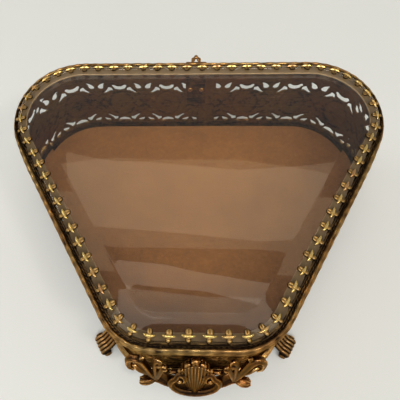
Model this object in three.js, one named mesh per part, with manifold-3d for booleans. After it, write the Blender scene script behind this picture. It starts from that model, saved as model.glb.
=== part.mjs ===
// Vanity trinket box: a low gilt casket on four fluted feet, with a rounded-triangle plan. The side wall
// is a pierced strip bent round and joined at the back. The hinged lid is a bevelled glass plate, held
// in its frame by a strip of florets folded over its edge.
// Millimetres, +Z up, +Y towards the hinge, with the feet standing on z = 0.
import * as THREE from 'three';
import { mergeVertices } from 'three/addons/utils/BufferGeometryUtils.js';
import Module from 'manifold-3d';

const wasm = await Module();
wasm.setup();

// ---------------------------------------------------------------- driving sizes
// Plan, measured round the outside of the lid frame. An inset is counted inwards from that line.
const WIDTH = 150;
const DEPTH = 122;
const FRONT_STRAIGHT = 25;
const BACK_RADIUS = 28.3;
const FRONT_RADIUS = 21.4;
const BACK_STEPS = 10;
const FRONT_STEPS = 6;

// Clearances
const GAP = 0.3;
const PIN_CLEARANCE = 0.05;
const RIVET_CLEARANCE = 0.3;

// Body
const FOOT_HEIGHT = 9;
const BASE_THICKNESS = 1;
const BASE_INSET = 0.3;
const WALL_INSET = 1.6;
const WALL_THICKNESS = 2.4;
const WALL_HEIGHT = 35.2;
const BASE_MOULDING_HEIGHT = 3.4;
const BASE_MOULDING_OVERHANG = 0.5;
const RIM_HEIGHT = 2.1;
const RIM_INSET = 0.5;
const RIM_LIP = 0.4;
const BOARD_THICKNESS = 0.8;
const PAD_THICKNESS = 1.4;
const PAD_CROWN = 0.4;

// Pierced rows of the wall
const MOTIF_PITCH = 21.8;
const PIERCED_ROW_MARGIN = 6.6;
const CRESCENT_WIDTH = 6;
const CRESCENT_DROP = 1.6;
const CRESCENT_STROKE = 1.5;
const LEAF_OFFSET = 4.6;
const LEAF_LENGTH = 4.4;
const LEAF_HEIGHT = 2.6;
const DROP_OFFSET = 8.6;
const DROP_RADIUS = 1.2;

// Feet
const FOOT_WIDTH = 9;
const FOOT_REACH = 7.5;
const FOOT_FLUTES = 4;
const FOOT_FLUTE_RELIEF = 0.4;
const FOOT_PAD_THICKNESS = 1.4;
const FRONT_FOOT_SETBACK = 5;
const FOOT_RIVET_RADIUS = 1;
const RIVET_HEAD_RATIO = 1.9;
const RIVET_EDGE = 2.5;

// Lid
const FRAME_HEIGHT = 4.2;
const FRAME_WIDTH = 2.7;
const LEDGE_WIDTH = 4.3;
const LEDGE_THICKNESS = 1.5;
const STRIP_THICKNESS = 0.4;
const STRIP_BAND_HEIGHT = 1.8;
const GLASS_EDGE = 3.6;
const BEVEL_WIDTH = 8.5;
const BEVEL_RISE = 1.2;
const FLORET_PITCH = 6;
const FLORET_THICKNESS = 0.55;
const FLORET_LENGTH = 4.7;
const FLORET_HALF_WIDTH = 2;
const STEM_HALF_WIDTH = 0.8;
const STEM_PROUD = 0.1;

// Hinge
const HINGE_WIDTH = 8.8;
const LEAF_THICKNESS = 0.8;
const BODY_LEAF_HEIGHT = 10;
const KNUCKLE_RADIUS = 1.3;
const KNUCKLE_STANDOFF = 1.6;
const LID_KNUCKLE_WIDTH = 4.4;
const KNUCKLE_GAP = 0.15;
const PIN_RADIUS = 0.6;
const PIN_HEAD_RADIUS = 1;
const PIN_HEAD_THICKNESS = 0.4;
const HINGE_RIVET_RADIUS = 0.6;
const BACKING_PLATE_WIDTH = 9;
const BACKING_PLATE_HEIGHT = 17;
const STOP_REACH = 5.9;
const STOP_WIDTH = 4.4;
const STOP_LOBE_RADIUS = 0.9;
const STOP_THICKNESS = 1.1;

// Cast ornament on the front
const CARTOUCHE_WIDTH = 13;
const CARTOUCHE_FLARE = 6.2;
const SCROLL_HALF_WIDTH = 9;
const SCROLL_HEIGHT = 26;
const SCROLL_TURN = 2.4;
const SCROLL_RADIUS = 1.3;
const MOUNT_SCROLL_RADIUS = 1.1;
const MOUNT_BUD_RADIUS = 2.2;

// ---------------------------------------------------------------- levels and places
const baseTop = FOOT_HEIGHT + BASE_THICKNESS;
const wallTop = baseTop + WALL_HEIGHT;
const rimTop = wallTop + RIM_HEIGHT;
const lidBottom = rimTop + GAP;
const ledgeTop = lidBottom + LEDGE_THICKNESS;
const wallInner = WALL_INSET + WALL_THICKNESS;
const liningInset = wallInner + GAP;
const stripOuter = FRAME_WIDTH + GAP;
const stripInner = stripOuter + STRIP_THICKNESS;
const glassInset = stripInner + GAP;
const glassEdgeTop = ledgeTop + GLASS_EDGE;
const glassTop = glassEdgeTop + BEVEL_RISE;
const backFace = DEPTH / 2;
const frontFace = -DEPTH / 2;
const hingeY = backFace + KNUCKLE_STANDOFF;
const hingeZ = rimTop + GAP / 2;

// ---------------------------------------------------------------- the plan
// Four corner arcs joined by their common tangents. The side's tangent faces sideAngle.
const backCentre = new THREE.Vector2(WIDTH / 2 - BACK_RADIUS, DEPTH / 2 - BACK_RADIUS);
const frontCentre = new THREE.Vector2(FRONT_STRAIGHT / 2, FRONT_RADIUS - DEPTH / 2);
const centreLine = backCentre.clone().sub(frontCentre);
const sideAngle = centreLine.angle() - Math.acos((FRONT_RADIUS - BACK_RADIUS) / centreLine.length());
const corners = [
  { x: backCentre.x, y: backCentre.y, r: BACK_RADIUS, from: sideAngle, to: Math.PI / 2, steps: BACK_STEPS },
  { x: -backCentre.x, y: backCentre.y, r: BACK_RADIUS, from: Math.PI / 2, to: Math.PI - sideAngle, steps: BACK_STEPS },
  { x: -frontCentre.x, y: frontCentre.y, r: FRONT_RADIUS, from: Math.PI - sideAngle, to: 1.5 * Math.PI, steps: FRONT_STEPS },
  { x: frontCentre.x, y: frontCentre.y, r: FRONT_RADIUS, from: 1.5 * Math.PI, to: 2 * Math.PI + sideAngle, steps: FRONT_STEPS },
];

function outline(inset) {
  const points = [];
  for (const corner of corners) {
    for (let i = 0; i <= corner.steps; i++) {
      const angle = corner.from + (corner.to - corner.from) * i / corner.steps;
      const r = corner.r - inset;
      points.push(new THREE.Vector2(corner.x + r * Math.cos(angle), corner.y + r * Math.sin(angle)));
    }
  }
  return points;
}

// Length round the plan, and the place and outward direction at a length, starting at the back centre.
function roundLength(inset) {
  const points = outline(inset);
  return points.reduce((sum, p, i) => sum + p.distanceTo(points[(i + 1) % points.length]), 0);
}

function placeAt(length, inset) {
  const points = outline(inset);
  const first = points[BACK_STEPS];
  let left = length + points[BACK_STEPS + 1].distanceTo(first) / 2;
  for (let i = 0; i < points.length; i++) {
    const start = points[(BACK_STEPS + i) % points.length];
    const end = points[(BACK_STEPS + i + 1) % points.length];
    const span = start.distanceTo(end);
    if (left <= span) {
      const along = end.clone().sub(start).divideScalar(span);
      const point = start.clone().addScaledVector(along, left);
      return { point, angle: Math.atan2(-along.x, along.y) };
    }
    left -= span;
  }
  return placeAt(length - roundLength(inset), inset);
}

// A matrix whose X runs along the outline, Y is up and Z points out of the box, at a place on the plan.
function outwardFrame(point, angle, z) {
  const out = new THREE.Vector3(Math.cos(angle), Math.sin(angle), 0);
  const up = new THREE.Vector3(0, 0, 1);
  const along = new THREE.Vector3().crossVectors(up, out);
  return new THREE.Matrix4().makeBasis(along, up, out).setPosition(point.x, point.y, z);
}

// ---------------------------------------------------------------- solids
function closedGeometry(positions, indices) {
  const geometry = new THREE.BufferGeometry();
  geometry.setAttribute('position', new THREE.Float32BufferAttribute(positions, 3));
  geometry.setIndex(indices);
  return geometry;
}

function toSolid(geometry) {
  const bare = geometry.clone();
  bare.deleteAttribute('normal');
  bare.deleteAttribute('uv');
  const merged = mergeVertices(bare, 1e-5);
  const mesh = new wasm.Mesh({
    numProp: 3,
    vertProperties: new Float32Array(merged.attributes.position.array),
    triVerts: new Uint32Array(merged.index.array),
  });
  return new wasm.Manifold(mesh);
}

function toGeometry(solid) {
  const mesh = solid.getMesh();
  return closedGeometry(Array.from(mesh.vertProperties), Array.from(mesh.triVerts));
}

const joined = (parts) => toGeometry(parts.map(toSolid).reduce((sum, part) => sum.add(part)));
const cutBy = (body, cutters) => toGeometry(cutters.map(toSolid).reduce((rest, cutter) => rest.subtract(cutter), toSolid(body)));
const common = (a, b) => toGeometry(toSolid(a).intersect(toSolid(b)));

// A ring round the plan. The profile is a closed loop of [inset, z], anticlockwise seen from the
// +tangent side, with the inset growing inwards.
function ring(profile) {
  const rails = profile.map(([inset, z]) => outline(inset).map((p) => [p.x, p.y, z]));
  const count = rails[0].length;
  const positions = rails.flat(2);
  const indices = [];
  for (let k = 0; k < rails.length; k++) {
    const next = (k + 1) % rails.length;
    for (let i = 0; i < count; i++) {
      const j = (i + 1) % count;
      indices.push(k * count + i, k * count + j, next * count + j);
      indices.push(k * count + i, next * count + j, next * count + i);
    }
  }
  return closedGeometry(positions, indices);
}

// A solid of stacked outlines, from the lowest [inset, z] to the highest.
function stack(levels) {
  const rails = levels.map(([inset, z]) => outline(inset).map((p) => [p.x, p.y, z]));
  const count = rails[0].length;
  const positions = rails.flat(2);
  const indices = [];
  for (let k = 0; k + 1 < rails.length; k++) {
    for (let i = 0; i < count; i++) {
      const j = (i + 1) % count;
      indices.push(k * count + i, k * count + j, (k + 1) * count + j);
      indices.push(k * count + i, (k + 1) * count + j, (k + 1) * count + i);
    }
  }
  const top = (rails.length - 1) * count;
  for (let i = 1; i + 1 < count; i++) {
    indices.push(0, i + 1, i);
    indices.push(top, top + i, top + i + 1);
  }
  return closedGeometry(positions, indices);
}

function extruded(points, depth) {
  const shape = new THREE.Shape(points.map(([x, y]) => new THREE.Vector2(x, y)));
  return new THREE.ExtrudeGeometry(shape, { depth, bevelEnabled: false });
}

// A solid whose profile lies in the box's YZ plane, running from x = -width/2 to width/2.
function acrossHinge(points, width, x = 0) {
  const matrix = new THREE.Matrix4().makeBasis(
    new THREE.Vector3(0, 1, 0), new THREE.Vector3(0, 0, 1), new THREE.Vector3(1, 0, 0));
  return extruded(points, width).applyMatrix4(matrix).translate(x - width / 2, 0, 0);
}

function cylinderX(radius, length, x, y, z, sides = 16) {
  return new THREE.CylinderGeometry(radius, radius, length, sides).rotateZ(Math.PI / 2).translate(x, y, z);
}

function box(x0, x1, y0, y1, z0, z1) {
  return new THREE.BoxGeometry(x1 - x0, y1 - y0, z1 - z0)
    .translate((x0 + x1) / 2, (y0 + y1) / 2, (z0 + z1) / 2);
}

// A half-round nose on the outside of a ring, from its bottom to its top.
function noseProfile(outer, width, bottom, height, steps = 4) {
  const points = [];
  for (let i = 0; i <= steps; i++) {
    const angle = -Math.PI / 2 + Math.PI * i / steps;
    points.push([outer + width * (1 - Math.cos(angle)), bottom + height * (1 + Math.sin(angle)) / 2]);
  }
  return points;
}

// A headed rivet on its own axis: lower head, shank and upper head.
function rivet(radius, shankBottom, shankTop, sides = 10) {
  const head = RIVET_HEAD_RATIO * radius;
  const headHeight = 0.7 * radius;
  const profile = [
    [0, shankBottom - headHeight], [0.7 * head, shankBottom - headHeight], [head, shankBottom],
    [radius, shankBottom], [radius, shankTop],
    [head, shankTop], [0.7 * head, shankTop + headHeight], [0, shankTop + headHeight],
  ];
  const geometry = new THREE.LatheGeometry(profile.map(([r, y]) => new THREE.Vector2(r, y)), sides);
  return geometry.rotateX(Math.PI / 2);
}

// ---------------------------------------------------------------- materials and assembly
const box3d = new THREE.Group();
const body = new THREE.Group();
const lid = new THREE.Group();
box3d.add(body, lid);

const gilt = { color: 0x8a6233, roughness: 0.38, metalness: 0.95 };
const brightGilt = { color: 0xc9a24e, roughness: 0.3, metalness: 0.95 };
const darkGilt = { color: 0x5b4226, roughness: 0.5, metalness: 0.9 };
const copperGilt = { color: 0x9a6238, roughness: 0.35, metalness: 0.95 };

function addMesh(group, name, geometry, look) {
  const mesh = new THREE.Mesh(geometry, new THREE.MeshStandardMaterial(look));
  mesh.name = name;
  group.add(mesh);
  return mesh;
}

// ---------------------------------------------------------------- feet
// Each foot is a scrolled bracket: a pad riveted under the base, and a fluted tongue that swings out
// and down to a rolled toe on the ground.
const backMiddle = (Math.PI / 2 + sideAngle) / 2;
const tangentPoint = new THREE.Vector2(
  frontCentre.x + FRONT_RADIUS * Math.cos(sideAngle), frontCentre.y + FRONT_RADIUS * Math.sin(sideAngle));
const frontFootPoint = tangentPoint.clone().addScaledVector(
  new THREE.Vector2(-Math.sin(sideAngle), Math.cos(sideAngle)), FRONT_FOOT_SETBACK);
const backFootPoint = new THREE.Vector2(
  backCentre.x + BACK_RADIUS * Math.cos(backMiddle), backCentre.y + BACK_RADIUS * Math.sin(backMiddle));

const feet = [];
for (const side of [1, -1]) {
  const hand = side > 0 ? 'right' : 'left';
  for (const [name, point, angle] of [
    ['front', frontFootPoint, sideAngle],
    ['back', backFootPoint, backMiddle],
  ]) {
    feet.push({
      name: `${name}_${hand}`,
      point: new THREE.Vector2(side * point.x, point.y),
      angle: side > 0 ? angle : Math.PI - angle,
    });
  }
}

// The rivet's heads lie clear of the wall, and the bracket's pad runs on past them.
const footRivetInset = liningInset + RIVET_HEAD_RATIO * FOOT_RIVET_RADIUS + 2 * RIVET_CLEARANCE;
const footRoot = footRivetInset + RIVET_EDGE;

// The bracket's side view: [outwards, up], with 0 outwards on the plan line.
function footProfile(relief) {
  const toe = FOOT_REACH;
  const curl = 2.1;
  const top = FOOT_HEIGHT;
  const under = FOOT_HEIGHT - FOOT_PAD_THICKNESS;
  const points = [[-footRoot, top], [-footRoot, under], [-1.5, under], [0.8, under - 2], [2.6, 1.4], [4.2, 0]];
  for (let i = 0; i <= 4; i++) {
    const angle = -Math.PI / 2 + 1.1 * Math.PI * i / 4;
    points.push([toe - curl + (curl + relief) * Math.cos(angle), curl * (1 + Math.sin(angle)) + relief * i / 4]);
  }
  points.push([4.4, 4.6 + relief], [2.6 + relief, 6.4], [1.2 + relief, top - GAP], [0, top - GAP], [0, top]);
  return points;
}

const acrossFoot = new THREE.Matrix4().makeBasis(
  new THREE.Vector3(0, 0, 1), new THREE.Vector3(0, 1, 0), new THREE.Vector3(-1, 0, 0));

function footSlice(relief, width, at) {
  return extruded(footProfile(relief), width).translate(0, 0, -width / 2).applyMatrix4(acrossFoot).translate(at, 0, 0);
}

function footRivetPlace(foot) {
  return new THREE.Vector2(
    foot.point.x - footRivetInset * Math.cos(foot.angle), foot.point.y - footRivetInset * Math.sin(foot.angle));
}

function uprightCylinder(place, radius, bottom, top, sides = 12) {
  return new THREE.CylinderGeometry(radius, radius, top - bottom, sides)
    .rotateX(Math.PI / 2).translate(place.x, place.y, (bottom + top) / 2);
}

const flutePitch = FOOT_WIDTH / FOOT_FLUTES;
for (const foot of feet) {
  const slices = [footSlice(0, FOOT_WIDTH, 0)];
  for (let i = 0; i < FOOT_FLUTES; i++) {
    slices.push(footSlice(FOOT_FLUTE_RELIEF, flutePitch * 0.6, (i + 0.5) * flutePitch - FOOT_WIDTH / 2));
  }
  const placed = joined(slices).applyMatrix4(outwardFrame(foot.point, foot.angle, 0));
  const place = footRivetPlace(foot);
  const hole = uprightCylinder(place, FOOT_RIVET_RADIUS + RIVET_CLEARANCE, 0, FOOT_HEIGHT + 1);
  addMesh(body, `foot_${foot.name}`, cutBy(placed, [hole]), gilt);
  const fixing = rivet(FOOT_RIVET_RADIUS, FOOT_HEIGHT - FOOT_PAD_THICKNESS, baseTop);
  addMesh(body, `foot_rivet_${foot.name}`, fixing.translate(place.x, place.y, 0), brightGilt);
}

// ---------------------------------------------------------------- base, lining and wall
const rivetHoles = feet.map((foot) =>
  uprightCylinder(footRivetPlace(foot), FOOT_RIVET_RADIUS + RIVET_CLEARANCE, 0, baseTop + 1));
addMesh(body, 'base_plate', cutBy(stack([[BASE_INSET, FOOT_HEIGHT], [BASE_INSET, baseTop]]), rivetHoles), darkGilt);

addMesh(body, 'base_moulding', ring([
  ...noseProfile(-BASE_MOULDING_OVERHANG, BASE_MOULDING_OVERHANG + (WALL_INSET - GAP) / 2, baseTop, BASE_MOULDING_HEIGHT),
  [WALL_INSET - GAP, baseTop + BASE_MOULDING_HEIGHT],
  [WALL_INSET - GAP, baseTop],
]), gilt);

const boardTop = baseTop + BOARD_THICKNESS;
const headHoles = feet.map((foot) =>
  uprightCylinder(footRivetPlace(foot), RIVET_HEAD_RATIO * FOOT_RIVET_RADIUS + RIVET_CLEARANCE, baseTop - 1, boardTop + 1));
addMesh(body, 'lining_board', cutBy(stack([[liningInset, baseTop], [liningInset, boardTop]]), headHoles),
  { color: 0x8d8476, roughness: 0.95, metalness: 0 });

const padTop = boardTop + PAD_THICKNESS;
addMesh(body, 'floor_pad', stack([
  [liningInset, boardTop],
  [liningInset, padTop - PAD_CROWN],
  [liningInset + 2 * PAD_CROWN, padTop],
]), { color: 0x9a7551, roughness: 0.95, metalness: 0 });

// The wall's pierced rows repeat one motif: a crescent between two leaves, and a drop beyond each leaf.
// The lower row is the upper one upside down.
function crescent() {
  const outer = [];
  const inner = [];
  for (let i = 0; i <= 2; i++) {
    const t = i - 1;
    outer.push([t * CRESCENT_WIDTH / 2, CRESCENT_DROP * (t * t - 1)]);
    inner.push([-t * CRESCENT_WIDTH / 2, CRESCENT_DROP * (t * t - 1) + CRESCENT_STROKE * (1.2 - t * t)]);
  }
  return [...outer, ...inner];
}

function leaf(side) {
  const points = [[-LEAF_LENGTH / 2, 0.3], [LEAF_LENGTH / 2, -0.2], [LEAF_LENGTH * 0.1, -LEAF_HEIGHT]];
  const turned = side > 0 ? points.map(([x, y]) => [-x, y]).reverse() : points;
  return turned;
}

function drop() {
  const points = [];
  for (let i = 0; i < 4; i++) {
    const angle = Math.PI * i / 2;
    points.push([DROP_RADIUS * Math.cos(angle), 1.2 * DROP_RADIUS * Math.sin(angle)]);
  }
  return points;
}

const pierceDepth = 2 * WALL_THICKNESS + 2;

function piercing(points, length, z, flip) {
  const shape = flip ? points.map(([x, y]) => [x, -y]).reverse() : points;
  const place = placeAt(length, wallInner);
  return extruded(shape, pierceDepth).translate(0, 0, -pierceDepth / 2)
    .applyMatrix4(outwardFrame(place.point, place.angle, z));
}

const wallLength = roundLength(wallInner);
const motifCount = Math.round(wallLength / MOTIF_PITCH);
const motifPitch = wallLength / motifCount;
const upperRow = wallTop - PIERCED_ROW_MARGIN;
const lowerRow = baseTop + PIERCED_ROW_MARGIN;
const piercings = [];
for (let i = 0; i < motifCount; i++) {
  const centre = (i + 0.5) * motifPitch;
  for (const [row, flip] of [[upperRow, false], [lowerRow, true]]) {
    const sign = flip ? -1 : 1;
    piercings.push(piercing(crescent(), centre, row + 1.2 * sign, flip));
    for (const side of [1, -1]) {
      piercings.push(piercing(leaf(side), centre + side * LEAF_OFFSET, row - 1.2 * sign, flip));
      piercings.push(piercing(drop(), centre + side * DROP_OFFSET, row + 0.8 * sign, flip));
    }
  }
}

// ---------------------------------------------------------------- hinge
const wallOuterY = backFace - WALL_INSET;
const wallInnerY = backFace - wallInner;
const leafBottom = wallTop - GAP - BODY_LEAF_HEIGHT;
const leafTop = wallTop - GAP;
const rivetZ = leafBottom + 2.4;
const hingeRivetX = HINGE_WIDTH / 2 - 1.9;
const bodyKnuckleWidth = (HINGE_WIDTH - LID_KNUCKLE_WIDTH) / 2 - KNUCKLE_GAP;
const knuckleBore = cylinderX(PIN_RADIUS + PIN_CLEARANCE, 2 * HINGE_WIDTH, 0, hingeY, hingeZ);

function throughWall(x, radius) {
  return new THREE.CylinderGeometry(radius, radius, 20, 12).translate(x, wallOuterY, rivetZ);
}

const hingeHoles = [1, -1].map((side) => throughWall(side * hingeRivetX, HINGE_RIVET_RADIUS + RIVET_CLEARANCE / 2));

addMesh(body, 'wall_band', cutBy(ring([
  [wallInner, baseTop], [WALL_INSET, baseTop], [WALL_INSET, wallTop], [wallInner, wallTop],
]), [...piercings, ...hingeHoles]), gilt);

addMesh(body, 'body_rim', ring([
  [wallInner + RIM_LIP, wallTop],
  ...noseProfile(RIM_INSET, RIM_HEIGHT / 2, wallTop, RIM_HEIGHT),
  [wallInner + RIM_LIP, rimTop],
]), gilt);

const backingTop = wallTop - GAP;
addMesh(body, 'hinge_backing_plate', cutBy(box(
  -BACKING_PLATE_WIDTH / 2, BACKING_PLATE_WIDTH / 2, wallInnerY - LEAF_THICKNESS, wallInnerY,
  backingTop - BACKING_PLATE_HEIGHT, backingTop), hingeHoles), darkGilt);

const arm = [
  [wallOuterY, leafTop], [wallOuterY, leafTop - 1.6], [hingeY - 0.6, leafTop - 1.6],
  [hingeY + KNUCKLE_RADIUS, hingeZ - 0.6], [hingeY, hingeZ], [hingeY - KNUCKLE_RADIUS, hingeZ],
  [hingeY - KNUCKLE_RADIUS, leafTop + 0.4], [backFace, leafTop],
];
const bodyLeafParts = [box(
  -HINGE_WIDTH / 2, HINGE_WIDTH / 2, wallOuterY, wallOuterY + LEAF_THICKNESS, leafBottom, leafTop)];
for (const side of [1, -1]) {
  const x = side * (HINGE_WIDTH - bodyKnuckleWidth) / 2;
  bodyLeafParts.push(acrossHinge(arm, bodyKnuckleWidth, x));
  bodyLeafParts.push(cylinderX(KNUCKLE_RADIUS, bodyKnuckleWidth, x, hingeY, hingeZ));
}
addMesh(body, 'body_hinge_leaf', cutBy(joined(bodyLeafParts), [knuckleBore, ...hingeHoles]), copperGilt);

const rivetShank = LEAF_THICKNESS * 2 + WALL_THICKNESS;
for (const side of [1, -1]) {
  const geometry = rivet(HINGE_RIVET_RADIUS, 0, rivetShank).rotateX(-Math.PI / 2)
    .translate(side * hingeRivetX, wallInnerY - LEAF_THICKNESS, rivetZ);
  addMesh(body, `body_hinge_rivet_${side > 0 ? 'right' : 'left'}`, geometry, brightGilt);
}

const pinHalf = HINGE_WIDTH / 2 + KNUCKLE_GAP;
const pinProfile = [
  [0, -pinHalf - PIN_HEAD_THICKNESS], [0.7 * PIN_HEAD_RADIUS, -pinHalf - PIN_HEAD_THICKNESS],
  [PIN_HEAD_RADIUS, -pinHalf], [PIN_RADIUS, -pinHalf],
];
const pinPoints = [...pinProfile, ...pinProfile.map(([r, y]) => [r, -y]).reverse()]
  .map(([r, y]) => new THREE.Vector2(r, y));
addMesh(body, 'hinge_pin', new THREE.LatheGeometry(pinPoints, 16).rotateZ(Math.PI / 2)
  .translate(0, hingeY, hingeZ), darkGilt);

// ---------------------------------------------------------------- cast ornament on the front
// The cartouche is a tall shell that flares out towards the ground, cradled in a C-scroll. It and the
// two corner mounts beside it are soldered to the base moulding and wall.
const shellTop = wallTop - 1;
const shellProfile = [];
const shellBack = [];
for (let i = 0; i <= 6; i++) {
  const t = i / 6;
  const z = shellTop - (shellTop - 2) * t;
  const out = -frontFace + BASE_MOULDING_OVERHANG + GAP + CARTOUCHE_FLARE * 0.85 * t * t;
  shellProfile.push([-out - 1.6, z]);
  shellBack.push([-out, z]);
}
const shellSlab = acrossHinge([...shellProfile, ...shellBack.reverse()], CARTOUCHE_WIDTH);
const shellOutline = [];
for (let i = 0; i <= 8; i++) {
  const angle = Math.PI * i / 8;
  shellOutline.push([CARTOUCHE_WIDTH / 2 * Math.cos(angle), shellTop - 7 + 7 * Math.sin(angle)]);
}
shellOutline.push([-CARTOUCHE_WIDTH * 0.36, 6], [0, 2], [CARTOUCHE_WIDTH * 0.36, 6]);
const towardsFront = new THREE.Matrix4().makeBasis(
  new THREE.Vector3(1, 0, 0), new THREE.Vector3(0, 0, 1), new THREE.Vector3(0, -1, 0));
const shellCut = extruded(shellOutline, 40).applyMatrix4(towardsFront).translate(0, frontFace + 20, 0);

function scroll(points, radius, steps) {
  const curve = new THREE.CatmullRomCurve3(points.map(([x, y, z]) => new THREE.Vector3(x, y, z)));
  const section = new THREE.Shape();
  section.absarc(0, 0, radius, 0, 2 * Math.PI);
  return new THREE.ExtrudeGeometry(section, { steps, curveSegments: 4, extrudePath: curve, bevelEnabled: false });
}

const frontOut = frontFace - BASE_MOULDING_OVERHANG - GAP;
const cScroll = [];
for (let i = 0; i <= 12; i++) {
  const turn = (i / 6 - 1) * SCROLL_TURN;
  cScroll.push([
    SCROLL_HALF_WIDTH * Math.sin(turn),
    frontOut - SCROLL_RADIUS - (CARTOUCHE_FLARE - 1.6) * (1 + Math.cos(turn)) / 2,
    SCROLL_RADIUS + 0.1 + SCROLL_HEIGHT * (1 - Math.cos(turn)) / 2,
  ]);
}
const volutes = [cScroll[0], cScroll[12]].map(([x, y, z]) =>
  new THREE.SphereGeometry(1.5 * SCROLL_RADIUS, 10, 6).translate(x, y - 0.3 * SCROLL_RADIUS, z));
addMesh(body, 'front_cartouche', joined([
  common(shellSlab, shellCut), scroll(cScroll, SCROLL_RADIUS, 20), ...volutes,
]), copperGilt);

// Corner mounts: a rising double scroll ending in a bud at its foot, on the round front corners.
for (const side of [1, -1]) {
  const corner = (turn, out, z) => {
    const angle = turn * (Math.PI / 2 + sideAngle);
    const r = FRONT_RADIUS + BASE_MOULDING_OVERHANG + GAP + out;
    return [side * (frontCentre.x + r * Math.sin(angle)), frontCentre.y - r * Math.cos(angle), z];
  };
  const r = MOUNT_SCROLL_RADIUS;
  const lower = scroll([corner(0.05, r, 14), corner(0.3, r + 0.6, 9), corner(0.5, r + 2, 7.5)], r, 6);
  const upper = scroll([
    corner(0.05, r, 14), corner(0.1, r, 26), corner(0.25, r, 36), corner(0.5, r, 41), corner(0.7, r, 38)], r, 10);
  const inner = scroll([corner(0.05, r, 14), corner(-0.05, r, 24), corner(-0.02, r, 33)], r, 6);
  const bud = new THREE.SphereGeometry(MOUNT_BUD_RADIUS, 10, 7).translate(...corner(0.55, MOUNT_BUD_RADIUS, 7.5));
  addMesh(body, `corner_mount_${side > 0 ? 'right' : 'left'}`, joined([upper, inner, lower, bud]), copperGilt);
}

// ---------------------------------------------------------------- lid
const frameRing = ring([
  [FRAME_WIDTH + LEDGE_WIDTH, lidBottom],
  ...noseProfile(0, FRAME_WIDTH / 2, lidBottom, FRAME_HEIGHT),
  [FRAME_WIDTH, lidBottom + FRAME_HEIGHT - 0.6],
  [FRAME_WIDTH, ledgeTop],
  [FRAME_WIDTH + LEDGE_WIDTH, ledgeTop],
]);
const leafSeatY = backFace - LEAF_THICKNESS;
const leafSeat = box(-HINGE_WIDTH / 2 - GAP, HINGE_WIDTH / 2 + GAP, leafSeatY, backFace + 5, 0, 2 * lidBottom);
addMesh(lid, 'lid_frame', cutBy(frameRing, [leafSeat]), gilt);

addMesh(lid, 'glass_plate', stack([
  [glassInset, ledgeTop],
  [glassInset, glassEdgeTop],
  [glassInset + BEVEL_WIDTH, glassTop],
]), { color: 0xdfe6e2, roughness: 0.05, metalness: 0, transparent: true, opacity: 0.35 });

// The gallery strip stands between the glass and the frame. Every floret rises from it on a stem and is
// folded in over the bevel: a stem, a pair of pointed arms and a round lobe.
const floretPlan = [
  [STEM_HALF_WIDTH, -STEM_PROUD], [STEM_HALF_WIDTH, 1.7], [FLORET_HALF_WIDTH, 2.2], [1, 3], [0.9, FLORET_LENGTH],
  [-0.9, FLORET_LENGTH], [-1, 3], [-FLORET_HALF_WIDTH, 2.2], [-STEM_HALF_WIDTH, 1.7],
  [-STEM_HALF_WIDTH, -STEM_PROUD],
];
const glassAtLobe = glassEdgeTop + BEVEL_RISE * (stripOuter + FLORET_LENGTH - glassInset) / BEVEL_WIDTH;
const floretBottom = glassAtLobe + GAP / 2;
const stripLength = roundLength(stripOuter);
const floretCount = Math.round(stripLength / FLORET_PITCH);
const stripParts = [ring([
  [stripInner, ledgeTop], [stripOuter, ledgeTop],
  [stripOuter, ledgeTop + STRIP_BAND_HEIGHT], [stripInner, ledgeTop + STRIP_BAND_HEIGHT],
])];
for (let i = 0; i < floretCount; i++) {
  const place = placeAt((i + 0.5) * stripLength / floretCount, stripOuter);
  const lying = new THREE.Matrix4().makeBasis(
    new THREE.Vector3(1, 0, 0), new THREE.Vector3(0, 0, -1), new THREE.Vector3(0, 1, 0));
  const plate = extruded(floretPlan, FLORET_THICKNESS).applyMatrix4(lying);
  const stem = box(-STEM_HALF_WIDTH, STEM_HALF_WIDTH, ledgeTop + STRIP_BAND_HEIGHT / 2 - floretBottom,
    FLORET_THICKNESS / 2, -STRIP_THICKNESS - STEM_PROUD, STEM_PROUD);
  const frame = outwardFrame(place.point, place.angle, floretBottom);
  stripParts.push(joined([plate, stem]).applyMatrix4(frame));
}
addMesh(lid, 'gallery_strip', joined(stripParts), brightGilt);

// The lid's leaf is let into the back of the frame. Its tail, an arch with three lobes, stands out behind
// the knuckle and meets the body's leaf when the lid is fully open.
const lidLeafBottom = hingeZ + KNUCKLE_RADIUS + GAP;
const lidLeafTop = lidBottom + FRAME_HEIGHT - 0.2;
const neck = [
  [leafSeatY, lidLeafBottom + 0.8], [leafSeatY, hingeZ + 0.9], [hingeY - 0.9, hingeZ + 0.7], [hingeY, hingeZ],
  [hingeY + 0.6, hingeZ + 0.8], [backFace + 0.4, lidLeafBottom + 0.8],
];
const stopOutline = new THREE.Shape();
stopOutline.absarc(0, STOP_REACH - 1.6, 1.4, -0.35, Math.PI + 0.35);
stopOutline.lineTo(-STOP_WIDTH / 2 + 0.2, 0);
stopOutline.lineTo(-STOP_WIDTH / 2 + 1.2, 0);
stopOutline.quadraticCurveTo(0, 2 * (STOP_REACH - 2.4), STOP_WIDTH / 2 - 1.2, 0);
stopOutline.lineTo(STOP_WIDTH / 2 - 0.2, 0);
const stopPlate = new THREE.ExtrudeGeometry(stopOutline, {
  depth: STOP_THICKNESS, curveSegments: 8, bevelEnabled: false,
});
const sideLobeX = LID_KNUCKLE_WIDTH / 2 - STOP_LOBE_RADIUS - 0.05;
const stopLobes = [[-sideLobeX, 1.9], [0, STOP_LOBE_RADIUS], [sideLobeX, 2.1]].map(([x, fromTip]) =>
  new THREE.CylinderGeometry(STOP_LOBE_RADIUS, STOP_LOBE_RADIUS, STOP_THICKNESS, 10)
    .rotateX(Math.PI / 2).translate(x, STOP_REACH - fromTip, STOP_THICKNESS / 2));
const lidStop = joined([stopPlate, ...stopLobes]).translate(0, hingeY + 0.4, hingeZ - 0.2);
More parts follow.
